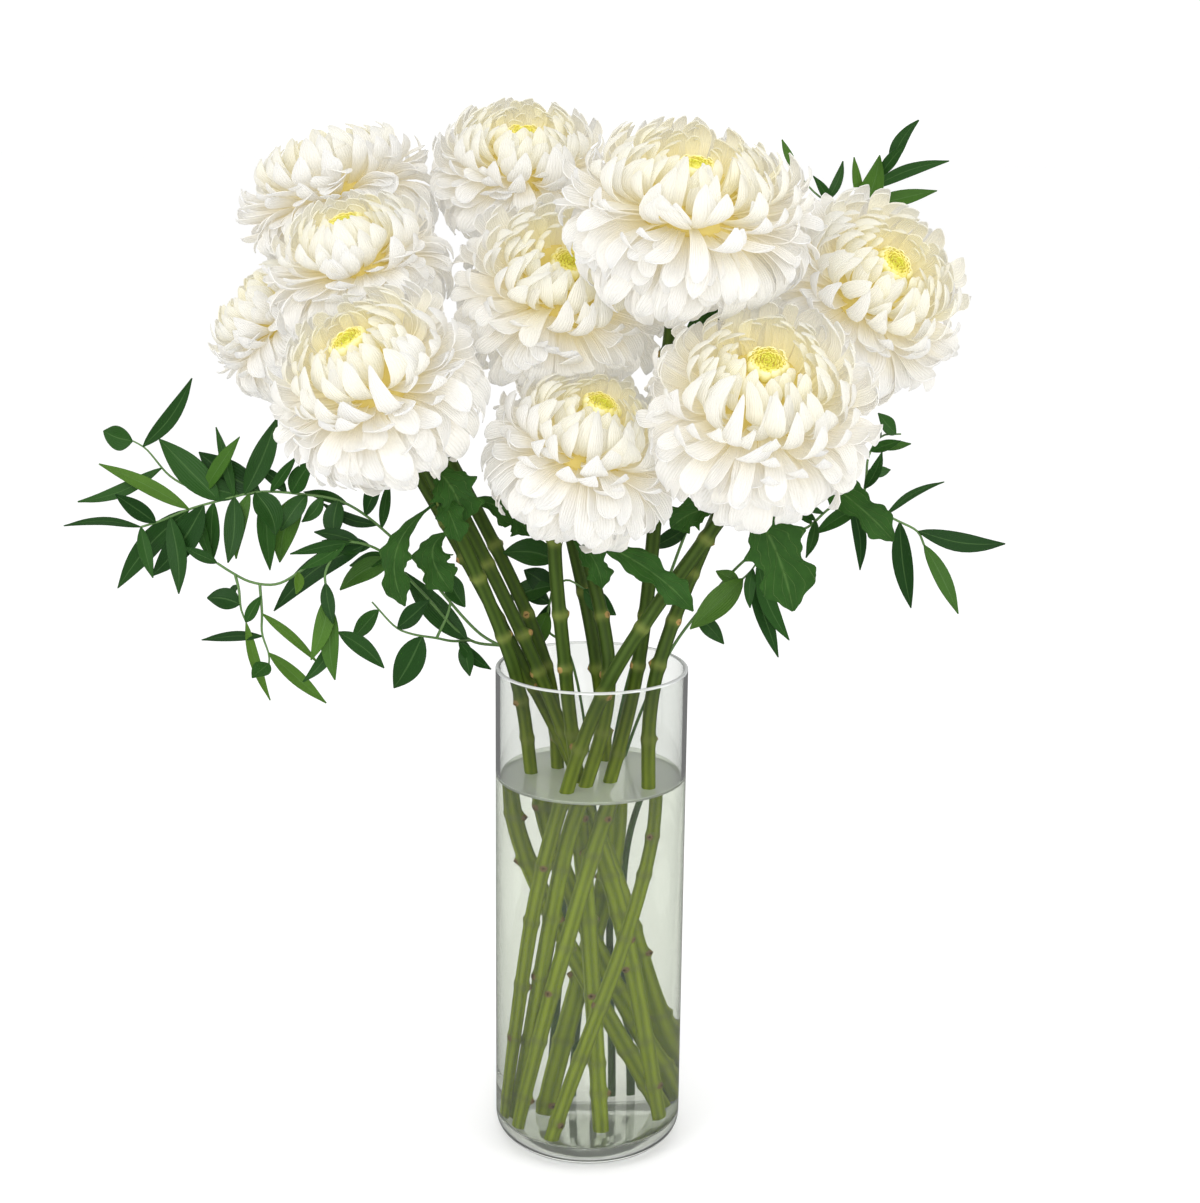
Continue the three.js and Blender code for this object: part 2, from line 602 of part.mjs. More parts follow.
// A lobed leaf of a flower stem, fused into the stem by its stalk
function lobedLeaf({ stem, pixels, depth, halfWidth }, others) {
  const foot = nearestOn([{ curve: stemCurve(FLOWERS[stem]), steps: STEM_STEPS }], pixels[0]);
  const shapeAt = (shift, grown) => {
    const middle = seen(pixels[1], depth + shift);
    const tip = seen(pixels[2], depth + 1.4 * shift);
    const curve = new THREE.QuadraticBezierCurve3(foot, middle.clone().lerp(foot, -0.2), tip);
    const spine = [foot, ...LOBED_SHARES.map((share) => curve.getPoint(share)), tip];
    const halfWidths = [1, ...LOBED_WIDTHS.map((part) => Math.max(part * halfWidth, 1))];
    return blade(spine, halfWidths, new THREE.Vector3(...LOBED_FACE), LEAF_KEEL, grown);
  };
  return firstClear(shapeAt, others);
}

// A pointed ruscus leaf, from the nearest point of its twigs to the pixel of its tip
function ruscusLeaf([footPixel, tipPixel, halfWidth], twigs, others, draw) {
  const foot = nearestOn(twigs, footPixel);
  const lean = LEAF_DEPTH_SPREAD * (2 * draw() - 1);
  const face = new THREE.Vector3(0.8 * (draw() - 0.5), -1, 0.8 * draw());
  const bow = 0.16 * (draw() - 0.5);
  const shapeAt = (shift, grown) => {
    const tip = seen(tipPixel, foot.y + lean + shift);
    const along = tip.clone().sub(foot);
    const sideways = new THREE.Vector3().crossVectors(along, face).multiplyScalar(bow);
    const middle = foot.clone().addScaledVector(along, 0.42).add(sideways);
    const shoulder = foot.clone().addScaledVector(along, 0.72).addScaledVector(sideways, 0.8);
    const isBroad = halfWidth > BROAD_LEAF;
    const spine = isBroad ? [foot, middle, shoulder, tip] : [foot, middle, tip];
    const halfWidths = (isBroad ? [0.15, 1, 0.74] : [0.15, 1]).map((part) => part * halfWidth);
    return blade(spine, halfWidths, face, LEAF_KEEL, grown);
  };
  return firstClear(shapeAt, others);
}

// The main stem and side twigs of a spray: for each its curve, its steps and its thickness
function twigsOf({ inVase, routes }) {
  const twigs = [];
  routes.forEach((route) => {
    const outside = route.map(([column, row, depth]) => seen([column, row], depth));
    const isMain = twigs.length === 0;
    const inside = inVase.map((point) => new THREE.Vector3(...point));
    const points = isMain ? [...inside, ...outside] : [nearestOn(twigs, route[0]), ...outside.slice(1)];
    twigs.push({
      curve: new THREE.CatmullRomCurve3(points, false, "centripetal"),
      steps: points.length + (isMain ? 2 : 0),
      radius: isMain ? TWIG_RADIUS : SIDE_TWIG_RADIUS,
    });
  });
  return twigs;
}

// One twig of a spray, as much thicker as asked
function twigRod({ curve, steps, radius }, grown = 0) {
  return rod(curve, radius + grown, TWIG_SIDES, steps);
}

// A whole spray: stem, side twigs and leaves
function spraySolid(spray, index, others) {
  const draw = drawsFrom(LEAF_SEED + index);
  const twigs = twigsOf(spray);
  const bare = twigs.map((twig) => twigRod(twig)).reduce((sum, twig) => sum.add(twig));
  return spray.leaves.reduce((sum, leaf) => {
    const shape = ruscusLeaf(leaf, twigs, others, draw);
    return shape ? sum.add(shape) : sum;
  }, bare.subtract(belowFloor()));
}

const stemMaterial = new THREE.MeshStandardMaterial({ color: 0x6f8f3a, roughness: 0.6, metalness: 0 });
const petalMaterial = new THREE.MeshStandardMaterial({ color: 0xf7f3e6, roughness: 0.7, metalness: 0 });
const eyeMaterial = new THREE.MeshStandardMaterial({ color: 0xe3dc4a, roughness: 0.7, metalness: 0 });
const ruscusMaterial = new THREE.MeshStandardMaterial({ color: 0x2f5a2c, roughness: 0.45, metalness: 0 });
const glassMaterial = new THREE.MeshStandardMaterial({ color: 0xdfe3e6, roughness: 0.05, metalness: 0 });
const waterMaterial = new THREE.MeshStandardMaterial({ color: 0xc9d6c4, roughness: 0.05, metalness: 0 });

const group = new THREE.Group();
const number = (index) => String(index + 1).padStart(2, "0");

const vase = vaseSolid();
const bareStems = FLOWERS.map(stemSolid);
const eyes = FLOWERS.map(eyeSolid);
const blooms = FLOWERS.map((flower, index) => bloomSolid(flower, index, [...bareStems, ...eyes]));

const stems = [...bareStems];
STEM_LEAVES.forEach((leaf) => {
  const others = [vase, ...stems.filter((solid, index) => index !== leaf.stem), ...blooms, ...eyes];
  const shape = lobedLeaf(leaf, others);
  if (shape) {
    stems[leaf.stem] = stems[leaf.stem].add(shape);
  }
});

const sprays = [];
SPRAYS.forEach((spray, index) => {
  const mains = SPRAYS.slice(index + 1).map((later) => twigRod(twigsOf(later)[0], GAP));
  sprays.push(spraySolid(spray, index, [vase, ...stems, ...blooms, ...eyes, ...sprays, ...mains]));
});

const holes = [
  ...FLOWERS.map((flower) => stemRod(flower, GAP)),
  ...SPRAYS.map((spray) => twigRod(twigsOf(spray)[0], GAP)),
];

group.add(meshOf("vase", vase, glassMaterial));
group.add(meshOf("water", waterSolid(holes), waterMaterial));
stems.forEach((solid, index) => group.add(meshOf(`stem_${number(index)}`, solid, stemMaterial)));
blooms.forEach((solid, index) => group.add(meshOf(`bloom_${number(index)}`, solid, petalMaterial)));
eyes.forEach((solid, index) => group.add(meshOf(`eye_${number(index)}`, solid, eyeMaterial)));
sprays.forEach((solid, index) => group.add(meshOf(SPRAYS[index].name, solid, ruscusMaterial)));

export default group;
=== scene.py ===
import math

import bmesh
import bpy
import numpy as np
from mathutils import Matrix, Vector


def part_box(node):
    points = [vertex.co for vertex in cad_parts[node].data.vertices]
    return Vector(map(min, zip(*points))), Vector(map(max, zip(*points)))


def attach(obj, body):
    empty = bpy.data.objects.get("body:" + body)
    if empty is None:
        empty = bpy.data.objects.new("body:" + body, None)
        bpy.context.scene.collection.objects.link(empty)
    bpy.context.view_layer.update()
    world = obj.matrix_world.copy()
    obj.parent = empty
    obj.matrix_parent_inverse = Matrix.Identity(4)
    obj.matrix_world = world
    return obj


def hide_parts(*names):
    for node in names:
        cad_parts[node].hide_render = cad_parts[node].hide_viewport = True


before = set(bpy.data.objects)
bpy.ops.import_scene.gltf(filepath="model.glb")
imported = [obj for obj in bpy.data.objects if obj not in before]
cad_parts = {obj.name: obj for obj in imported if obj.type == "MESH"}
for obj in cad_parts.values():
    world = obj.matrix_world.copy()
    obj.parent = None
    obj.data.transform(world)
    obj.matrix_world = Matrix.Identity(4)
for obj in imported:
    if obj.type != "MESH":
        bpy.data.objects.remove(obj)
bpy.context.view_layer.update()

# Viewpoint. The camera stands in front of the vase and a little above it, looking down, where the
# photographer stood. A pixel of the photograph and a depth behind the vase's middle give a place.
CAMERA_DISTANCE = 1.1153
CAMERA_HEIGHT = 0.61465
CAMERA_DIP = math.radians(13.88)
CAMERA_ROLL = math.radians(0.65)
CAMERA_TURN = math.radians(0.224)
CAMERA_REACH = 50
FOCAL_PIXELS = 1957
PHOTO_SIZE = (1200, 1203)
SENSOR_WIDTH = 36


def view_axes():
    """The picture's right and down and the way the camera looks, as unit vectors."""
    right = Vector((1, 0, 0))
    down = Vector((0, -math.sin(CAMERA_DIP), -math.cos(CAMERA_DIP)))
    ahead = Vector((0, math.cos(CAMERA_DIP), -math.sin(CAMERA_DIP)))
    turn = Matrix.Rotation(-CAMERA_TURN, 3, "Z")
    roll = Matrix.Rotation(CAMERA_ROLL, 3, ahead)
    return [turn @ roll.inverted() @ axis for axis in (right, down, ahead)]


def seen(pixel, depth):
    """The point that shows at a pixel of the photograph, at a depth behind the vase's middle."""
    right, down, ahead = view_axes()
    across = (pixel[0] - PHOTO_SIZE[0] / 2) / FOCAL_PIXELS
    below = (pixel[1] - PHOTO_SIZE[1] / 2) / FOCAL_PIXELS
    ray = ahead + across * right + below * down
    eye = Vector((0, -CAMERA_DISTANCE, CAMERA_HEIGHT))
    return eye + ray * ((depth + CAMERA_DISTANCE) / ray.y)


right, down, ahead = view_axes()
camera = bpy.data.objects.new("camera", bpy.data.cameras.new("camera"))
camera.data.sensor_width = SENSOR_WIDTH
camera.data.lens = FOCAL_PIXELS * SENSOR_WIDTH / PHOTO_SIZE[1]
camera.data.clip_end = CAMERA_REACH
camera.matrix_world = Matrix.Translation((0, -CAMERA_DISTANCE, CAMERA_HEIGHT)) @ Matrix(
    (right, -down, -ahead)
).transposed().to_4x4()
bpy.context.scene.collection.objects.link(camera)
bpy.context.scene.camera = camera
bpy.context.scene.view_settings.view_transform = "Standard"


# Floor and light. A pale table top runs into an even white surround, and three large soft lamps
# stand in front. What a near face of glass mirrors of floor and surround is dimmed, because at full
# strength it veils what stands behind the glass.
FLOOR_SIZE = 60
FLOOR_DROP = 0.0002
FLOOR_WHITE = (0.93, 0.93, 0.93)
FLOOR_MIRRORED = (0.05, 0.05, 0.05)
FLOOR_ROUGHNESS = 0.9
FLOOR_SHINE = 0.2
FLOOR_LIT = 0.14
SURROUND_WHITE = (1, 1, 1, 1)
SURROUND_STRENGTH = 1.12
MIRRORED_STRENGTH = 0.8
SCATTERED_STRENGTH = 0.95
MOST_CROSSINGS = 2
LAMP_AIM = Vector((0, 0, 0.4))
LAMPS = [
    {"name": "lamp_front", "place": (0.1, -2.2, 1.0), "size": 1.2, "watts": 16},
    {"name": "lamp_left", "place": (-1.5, -1.6, 1.9), "size": 1.3, "watts": 16},
    {"name": "lamp_right", "place": (1.8, -1.1, 1.3), "size": 1.6, "watts": 10},
]
SHARP_ANGLE = math.radians(50)


class Value:
    """A number or colour worked out by a finish. Sums and products of numbers add Math nodes."""

    def __init__(self, finish, socket):
        self.finish = finish
        self.socket = socket

    def __add__(self, other):
        return self.finish.math("ADD", self, other)

    def __radd__(self, other):
        return self.finish.math("ADD", other, self)

    def __sub__(self, other):
        return self.finish.math("SUBTRACT", self, other)

    def __rsub__(self, other):
        return self.finish.math("SUBTRACT", other, self)

    def __mul__(self, other):
        return self.finish.math("MULTIPLY", self, other)

    def __rmul__(self, other):
        return self.finish.math("MULTIPLY", other, self)


class Finish:
    """One finish of the object: its material, and the nodes that give its colour and relief."""

    def __init__(self, name):
        self.material = bpy.data.materials.new(name)
        self.material.use_nodes = True
        self.tree = self.material.node_tree
        self.tree.nodes.clear()

    def node(self, kind, settings=(), inputs=(), output=0):
        """Adds a node with its settings and the values or links of its sockets."""
        made = self.tree.nodes.new(kind)
        for name, value in dict(settings).items():
            if name == "stops":
                ramp = made.color_ramp
                while len(ramp.elements) < len(value):
                    ramp.elements.new(1)
                for element, (place, colour) in zip(ramp.elements, value):
                    element.position = place
                    element.color = (*colour, 1)
            else:
                setattr(made, name, value)
        for key, value in dict(inputs).items():
            socket = made.inputs[key]
            if isinstance(value, Value):
                self.tree.links.new(value.socket, socket)
            elif socket.type == "RGBA":
                socket.default_value = (*value, 1)
            else:
                socket.default_value = value
        return Value(self, made.outputs[output])

    def math(self, operation, *values):
        """Works out a Math node's operation on one value or two."""
        return self.node("ShaderNodeMath", {"operation": operation}, dict(enumerate(values)))

    def places(self):
        """The coordinates of the object itself."""
        return self.node("ShaderNodeTexCoord", output="Object")

    def part(self, vector, axis):
        """One coordinate of a vector."""
        return self.node("ShaderNodeSeparateXYZ", {}, {0: vector}, axis)

    def across(self):
        """How far a point lies from one side of its sheet to the other, from 0 to 1."""
        return self.part(self.node("ShaderNodeUVMap"), "X")

    def onward(self):
        """How far a point lies along its sheet, from 0 to 1."""
        return self.part(self.node("ShaderNodeUVMap"), "Y")

    def attribute(self, name):
        return self.node("ShaderNodeAttribute", {"attribute_name": name}, output="Fac")

    def noise(self, scale, detail=3, stretch=(1, 1, 1)):
        """Smooth noise from 0 to 1 on the object's own coordinates, drawn out along an axis."""
        spread = self.node(
            "ShaderNodeVectorMath",
            {"operation": "MULTIPLY"},
            {0: self.places(), 1: stretch},
        )
        return self.node(
            "ShaderNodeTexNoise", {}, {"Vector": spread, "Scale": scale, "Detail": detail}
        )

    def fade(self, value, start, end, low=0.0, high=1.0):
        """Goes straight from low to high while a value goes from start to end."""
        return self.node("ShaderNodeMapRange", {}, {0: value, 1: start, 2: end, 3: low, 4: high})

    def ramp(self, value, stops):
        return self.node("ShaderNodeValToRGB", {"stops": stops}, {"Fac": value})

    def blend(self, share, first, second, way="MIX"):
        """Mixes two colours, and share says how much of the second."""
        return self.node(
            "ShaderNodeMix",
            {"data_type": "RGBA", "blend_type": way},
            {0: share, 6: first, 7: second},
            2,
        )

    def bump(self, height, strength, distance):
        return self.node(
            "ShaderNodeBump",
            {},
            {"Height": height, "Strength": strength, "Distance": distance},
            "Normal",
        )

    def surface(self, colour, roughness, others=()):
        """The usual shader, with its colour, its roughness and the values of other sockets."""
        sockets = {"Base Color": colour, "Roughness": roughness, **dict(others)}
        return self.node("ShaderNodeBsdfPrincipled", {}, sockets)

    def lit(self, colour, roughness, strength, others=()):
        """A surface with a little light of its own, for the light that is lost after many bounces."""
        light = {"Emission Color": colour, "Emission Strength": strength}
        return self.surface(colour, roughness, {**light, **dict(others)})

    def mix(self, share, first, second):
        """Mixes two shaders, and share says how much of the second."""
        return self.node("ShaderNodeMixShader", {}, {0: share, 1: first, 2: second})

    def wear(self, shader):
        """Makes a shader the one that the finish shows."""
        out = self.tree.nodes.new("ShaderNodeOutputMaterial")
        self.tree.links.new(shader.socket, out.inputs["Surface"])
        return self.material


class Surround(Finish):
    """The white surround, worked out with nodes as a finish is."""

    def __init__(self, name):
        self.world = bpy.data.worlds.new(name)
        self.world.use_nodes = True
        self.tree = self.world.node_tree


def mirrored_share(finish):
    """1 for light that a near face mirrors to the camera, and 0 for all other light."""
    mirrors, scatters, crossings = (
        finish.node("ShaderNodeLightPath", output=f"{kind} Depth")
        for kind in ("Glossy", "Diffuse", "Transmission")
    )
    mirrored = finish.math("GREATER_THAN", mirrors, 0.5)
    straight = finish.math("LESS_THAN", scatters, 0.5)
    outside = finish.math("LESS_THAN", crossings, MOST_CROSSINGS + 0.5)
    return mirrored * straight * outside


def put(name, form, materials):
    """Makes an object of a bmesh, smooth, with its place in its mesh."""
    mesh = bpy.data.meshes.new(name)
    form.to_mesh(mesh)
    form.free()
    mesh.shade_smooth()
    mesh.set_sharp_from_angle(angle=SHARP_ANGLE)
    for material in materials:
        mesh.materials.append(material)
    made = bpy.data.objects.new(name, mesh)
    bpy.context.scene.collection.objects.link(made)
    return made


paper = Finish("pale_floor")
pale_floor = paper.wear(
    paper.surface(
        paper.blend(mirrored_share(paper), FLOOR_WHITE, FLOOR_MIRRORED),
        FLOOR_ROUGHNESS,
        {
            "Specular IOR Level": FLOOR_SHINE,
            "Emission Color": FLOOR_WHITE,
            "Emission Strength": FLOOR_LIT,
        },
    )
)
form = bmesh.new()
bmesh.ops.create_grid(form, x_segments=1, y_segments=1, size=FLOOR_SIZE / 2)
bmesh.ops.translate(form, verts=form.verts, vec=(0, 0, -FLOOR_DROP))
floor = put("floor", form, [pale_floor])

sky = Surround("white_surround")
background = sky.tree.nodes["Background"]
background.inputs["Color"].default_value = SURROUND_WHITE
strength = SURROUND_STRENGTH - mirrored_share(sky) * (SURROUND_STRENGTH - MIRRORED_STRENGTH)
scattered = sky.node("ShaderNodeLightPath", output="Is Diffuse Ray")
strength = strength - scattered * (SURROUND_STRENGTH - SCATTERED_STRENGTH)
sky.tree.links.new(strength.socket, background.inputs["Strength"])
bpy.context.scene.world = sky.world

for lamp in LAMPS:
    light = bpy.data.lights.new(lamp["name"], "AREA")
    light.shape = "DISK"
    light.size = lamp["size"]
    light.energy = lamp["watts"]
    holder = bpy.data.objects.new(lamp["name"], light)
    place = Vector(lamp["place"])
    facing = (LAMP_AIM - place).to_track_quat("-Z", "Y").to_matrix().to_4x4()
    holder.matrix_world = Matrix.Translation(place) @ facing
    bpy.context.scene.collection.objects.link(holder)


# Vase. A straight cylinder of clear glass with a thick solid foot, a rounded heel and a rim melted
# smooth. Its outline is spun once round the middle. The rim and the hollow under the foot have a
# thin matt film that glows a little, painted light where the renderer's last bounces would end black.
VASE_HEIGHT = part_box("vase")[1][2]
VASE_RADIUS = 0.057
VASE_WALL = 0.0026
VASE_FLOOR = 0.013
VASE_HEEL = 0.014
VASE_CORNER = 0.005
VASE_SIDES = 128
VASE_HOLLOW = 0.0018
HOLLOW_PROFILE = ((0, 1), (0.3, 0.9), (0.5, 0.5))
RING_SHARE = 0.66
RING_HEIGHT = 0.0001
HOLD = 0.0002
MERGE = 1e-6
GLASS_TINT = (0.865, 0.88, 0.855)
GLASS_IOR = 1.5
# Painted light: the glowing matt film on the rim and under the foot.
RIM_PAINTED_LIGHT = {"white": (0.80, 0.82, 0.82), "roughness": 0.15, "lit": 0.1, "share": 0.55}


def arc(middle, radius, start, end, steps):
    """Points along an arc in the upright plane, with angles in degrees from straight out."""
    angles = np.radians(np.linspace(start, end, steps + 1))
    return [(middle[0] + radius * math.cos(a), middle[1] + radius * math.sin(a)) for a in angles]


def held(outline):
    """Adds a point near both ends of each long straight, so that smooth shading stays true along it."""
    points = [outline[0]]
    for start, end in zip(outline, outline[1:]):
        length = math.dist(start, end)
        if length > 20 * HOLD:
            share = HOLD / length
            for part in (share, 1 - share):
                points.append(tuple(a + (b - a) * part for a, b in zip(start, end)))
        points.append(end)
    return points


def spun(outline, sides):
    """A closed form from an outline of (radius, height) points, spun round the upright axis."""
    form = bmesh.new()
    verts = [form.verts.new((radius, 0, height)) for radius, height in held(outline)]
    edges = [form.edges.new(pair) for pair in zip(verts, verts[1:])]
    bmesh.ops.spin(
        form,
        geom=verts + edges,
        cent=(0, 0, 0),
        axis=(0, 0, 1),
        angle=2 * math.pi,
        steps=sides,
        use_merge=True,
    )
    bmesh.ops.remove_doubles(form, verts=form.verts, dist=MERGE)
    bmesh.ops.recalc_face_normals(form, faces=form.faces)
    return form


def see_through(finish, tint, ior):
    """A smooth clear shader."""
    return finish.surface(tint, 0.0, {"IOR": ior, "Transmission Weight": 1.0})


def painted_light_film(finish, clear, film):
    """A clear shader under a thin matt film that glows a little: painted light."""
    matt = finish.lit(film["white"], film["roughness"], film["lit"])
    return finish.mix(film["share"], clear, matt)


def dress(made, node):
    """Makes a piece stand for a node of the frame and ride with the object."""
    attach(made, "root")
    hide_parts(node)
    return made


inner = VASE_RADIUS - VASE_WALL
lip = VASE_WALL / 2
vase_outline = [
    *((share * VASE_RADIUS, rise * VASE_HOLLOW) for share, rise in HOLLOW_PROFILE),
    (RING_SHARE * VASE_RADIUS, RING_HEIGHT),
    *arc((VASE_RADIUS - VASE_HEEL, VASE_HEEL), VASE_HEEL, -90, 0, 10),
    (VASE_RADIUS, VASE_HEIGHT / 2),
    *arc((VASE_RADIUS - lip, VASE_HEIGHT - lip), lip, 0, 180, 8),
    (inner, VASE_HEIGHT / 2),
    *arc((inner - VASE_CORNER, VASE_FLOOR + VASE_CORNER), VASE_CORNER, 0, -90, 6),
    (0, VASE_FLOOR),
]
clear = Finish("clear_glass")
clear_glass = clear.wear(see_through(clear, GLASS_TINT, GLASS_IOR))
# The rim's finish carries painted light: a matt film that glows a little.
melted = Finish("rim_and_foot_painted_light")
rim_and_foot_painted_light = melted.wear(painted_light_film(melted, see_through(melted, GLASS_TINT, GLASS_IOR), RIM_PAINTED_LIGHT))
form = spun(vase_outline, VASE_SIDES)
for face in form.faces:
    height = face.calc_center_median().z
    face.material_index = int(height > VASE_HEIGHT - lip or height < VASE_HOLLOW)
dress(put("glass_cylinder", form, [clear_glass, rim_and_foot_painted_light]), "vase")


# Water. Clean tap water, three quarters up the vase. It climbs a little where it meets the glass,
# and it reaches a hair into the glass so that no film of air is left between them. Its face has the
# same thin matt film as the rim, which glows a little: painted light that brightens the face.
WATER_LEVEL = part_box("water")[1][2]
WATER_REACH = 0.0001
MENISCUS = 0.0022
MENISCUS_SHARES = (1, 0.8, 0.6, 0.3, 0)
CALM_SHARE = 0.8
WATER_IOR = 1.333
WATER_TINT = (0.945, 0.965, 0.89)
# Painted light: the glowing matt film on the water's face.
WATER_PAINTED_LIGHT = {"white": (0.84, 0.88, 0.81), "roughness": 0.3, "lit": 0.2, "share": 0.56}

wet = inner + WATER_REACH
wet_floor = VASE_FLOOR - WATER_REACH
water_outline = [
    (0, wet_floor),
    *arc((wet - VASE_CORNER, wet_floor + VASE_CORNER), VASE_CORNER, -90, 0, 6),
    (wet, WATER_LEVEL / 2),
    *((wet - MENISCUS * (1 - share), WATER_LEVEL + MENISCUS * share**3) for share in MENISCUS_SHARES),
    (CALM_SHARE * wet, WATER_LEVEL),
    (0, WATER_LEVEL),
]
still = Finish("still_water")
still_water = still.wear(see_through(still, WATER_TINT, WATER_IOR))
# The water's face carries painted light: a matt film that glows a little.
pool = Finish("water_face")
water_face = pool.wear(painted_light_film(pool, see_through(pool, WATER_TINT, WATER_IOR), WATER_PAINTED_LIGHT))
form = spun(water_outline, VASE_SIDES)
for face in form.faces:
    face.material_index = int(face.calc_center_median().z > WATER_LEVEL - WATER_REACH)
dress(put("vase_water", form, [still_water, water_face]), "water")


# Flower stems. Ten cut chrysanthemum stems cross in the vase and stand on its floor. Each is a
# ribbed green rod with a swollen leaf joint every few centimetres, and flares into the green cup
# that holds the petals.
STEM_RADIUS = 0.0039
STEM_FULLNESS = 1.02
STEM_SIDES = 20
STEM_ROW = 0.0017
STEM_RIBS = 6
RIB_DEPTH = 0.05
JOINT_SPACING = 0.039
JOINT_LENGTH = 0.0026
JOINT_SWELL = 0.16
SCAR_HEIGHTS = (0.0012, 0.0026)
SCAR_WIDTH = 0.45
CUP_RADIUS = 0.010
CUP_HEIGHT = 0.013
CUP_SHARES = (0.25, 0.45, 0.65, 0.85, 1)
NECK_SHARE = 0.42
BEND_SHARE = 0.16
WAIST_HEIGHT = 0.195
FOOT_SINK = 0.004
STEM_CLEARANCE = 0.0003
CURVE_STEPS = 40
# Painted light and shade: the stem green is partly darkened as painted shade under the heads, and the much
# lighter green low down is painted light of the water.
STEM_GREEN = (0.050, 0.092, 0.009)
UNDERWATER_PAINTED_LIGHT_GREEN = (0.47, 0.58, 0.025)
PAINTED_LIGHT_HEIGHTS = (0.17, 0.30)
FURROW_SHADE = (0.38, 0.46, 0.16)
JOINT_GREEN = (0.24, 0.28, 0.06)
JOINT_SHARE = 0.45
SCAR_TAN = (0.34, 0.22, 0.07)
SCAR_BROWN = (0.11, 0.065, 0.02)
TAN_EDGE = (0.5, 0.62)
BROWN_EDGE = (0.88, 0.98)
GOLDEN_ANGLE = math.radians(137.508)
FLOWER_MEASURES = ("centre", "depth", "radius", "squash", "facing", "eye_depth", "rim", "waist", "foot")
FLOWER_ROWS = [
    (
        (285, 325), 0.05, 0.046, 0.9, (-0.7, -0.1, 0.65), 0.66,
        (-0.042, 0.004), (0.003, 0.015), (0.034, 0.029),
    ),
    (
        (340, 203), 0.075, 0.06, 0.82, (-0.3, 0.1, 0.9), 0.66,
        (-0.029, 0.015), (-0.016, 0.016), (0.036, 0.019),
    ),
    (
        (360, 270), -0.005, 0.053, 0.85, (-0.25, -0.25, 0.9), 0.68,
        (-0.032, -0.008), (0.003, 0.005), (0.035, -0.006),
    ),
    (
        (377, 388), -0.07, 0.059, 0.88, (-0.4, -0.45, 0.8), 0.7,
        (-0.045, -0.015), (-0.03, 0.011), (0.031, 0.011),
    ),
    (
        (522, 175), 0.055, 0.055, 0.8, (0.05, -0.35, 0.9), 0.62,
        (0.002, 0.022), (0.009, 0.033), (-0.018, 0.007),
    ),
    (
        (560, 297), -0.01, 0.064, 0.8, (0.2, -0.6, 0.78), 0.56,
        (0.01, -0.016), (-0.012, -0.019), (-0.035, -0.008),
    ),
    (
        (583, 455), -0.05, 0.056, 0.88, (0.3, -0.35, 0.88), 0.72,
        (-0.015, -0.023), (-0.004, -0.008), (0.007, -0.02),
    ),
    (
        (688, 218), -0.055, 0.07, 0.74, (0.1, -0.35, 0.93), 0.62,
        (0.027, -0.004), (0.002, -0.016), (-0.038, -0.023),
    ),
    (
        (757, 410), -0.08, 0.064, 0.9, (0.08, -0.62, 0.78), 0.68,
        (0.009, -0.04), (-0.022, -0.026), (-0.044, -0.009),
    ),
    (
        (863, 297), -0.005, 0.061, 0.85, (0.45, -0.62, 0.62), 0.66,
        (0.038, -0.014), (0.031, -0.024), (-0.02, -0.038),
    ),
]
FLOWERS = [dict(zip(FLOWER_MEASURES, row)) for row in FLOWER_ROWS]


def centripetal(points, count):
    """Evenly spaced points on a smooth curve through the given ones, and the curve's length."""
    points = [Vector(p) for p in points]
    before = points[0] * 2 - points[1]
    after = points[-1] * 2 - points[-2]
    chain = [before, *points, after]
    fine = []
    for p0, p1, p2, p3 in zip(chain, chain[1:], chain[2:], chain[3:]):
        t1 = math.sqrt((p1 - p0).length)
        t2 = t1 + math.sqrt((p2 - p1).length)
        t3 = t2 + math.sqrt((p3 - p2).length)
        for t in np.linspace(t1, t2, CURVE_STEPS, endpoint=False):
            a1 = p0.lerp(p1, t / t1)
            a2 = p1.lerp(p2, (t - t1) / (t2 - t1))
            a3 = p2.lerp(p3, (t - t2) / (t3 - t2))
            b1 = a1.lerp(a2, t / t2)
            b2 = a2.lerp(a3, (t - t1) / (t3 - t1))
            fine.append(b1.lerp(b2, (t - t1) / (t2 - t1)))
    fine.append(points[-1])
    fine = np.array(fine)
    lengths = np.concatenate([[0], np.cumsum(np.linalg.norm(np.diff(fine, axis=0), axis=1))])
    wanted = np.linspace(0, lengths[-1], count)
    return np.stack([np.interp(wanted, lengths, fine[:, k]) for k in range(3)], axis=1), lengths[-1]


def frames_along(points):
    """For each point of a curve, two unit vectors across it that turn as little as they can."""
    along = np.gradient(points, axis=0)
    along /= np.linalg.norm(along, axis=1, keepdims=True)
    side = Vector(along[0]).orthogonal().normalized()
    sides = []
    for direction in along:
        direction = Vector(direction)
        side = (side - direction * side.dot(direction)).normalized()
        sides.append(side)
    sides = np.array(sides)
    return sides, np.cross(along, sides)


def blank(*tones):
    """An empty form whose points will carry the named values."""
    form = bmesh.new()
    form.loops.layers.uv.new("UVMap")
    for name in tones:
        form.verts.layers.float.new(name)
    return form


def sheet(form, columns, rows, place):
    """Adds a grid whose points go where place puts them: u runs across from -1 to 1, v from 0 to 1."""
    made = bmesh.ops.create_grid(form, x_segments=columns, y_segments=rows, size=1, calc_uvs=True)["verts"]
    u = np.array([vert.co.x for vert in made])
    v = np.array([(vert.co.y + 1) / 2 for vert in made])
    points, tones = place(u, v)
    for vert, point in zip(made, points.tolist()):
        vert.co = point
    for name, values in tones.items():
        layer = form.verts.layers.float[name]
        for vert, value in zip(made, np.broadcast_to(values, u.shape).tolist()):
            vert[layer] = value
    return made


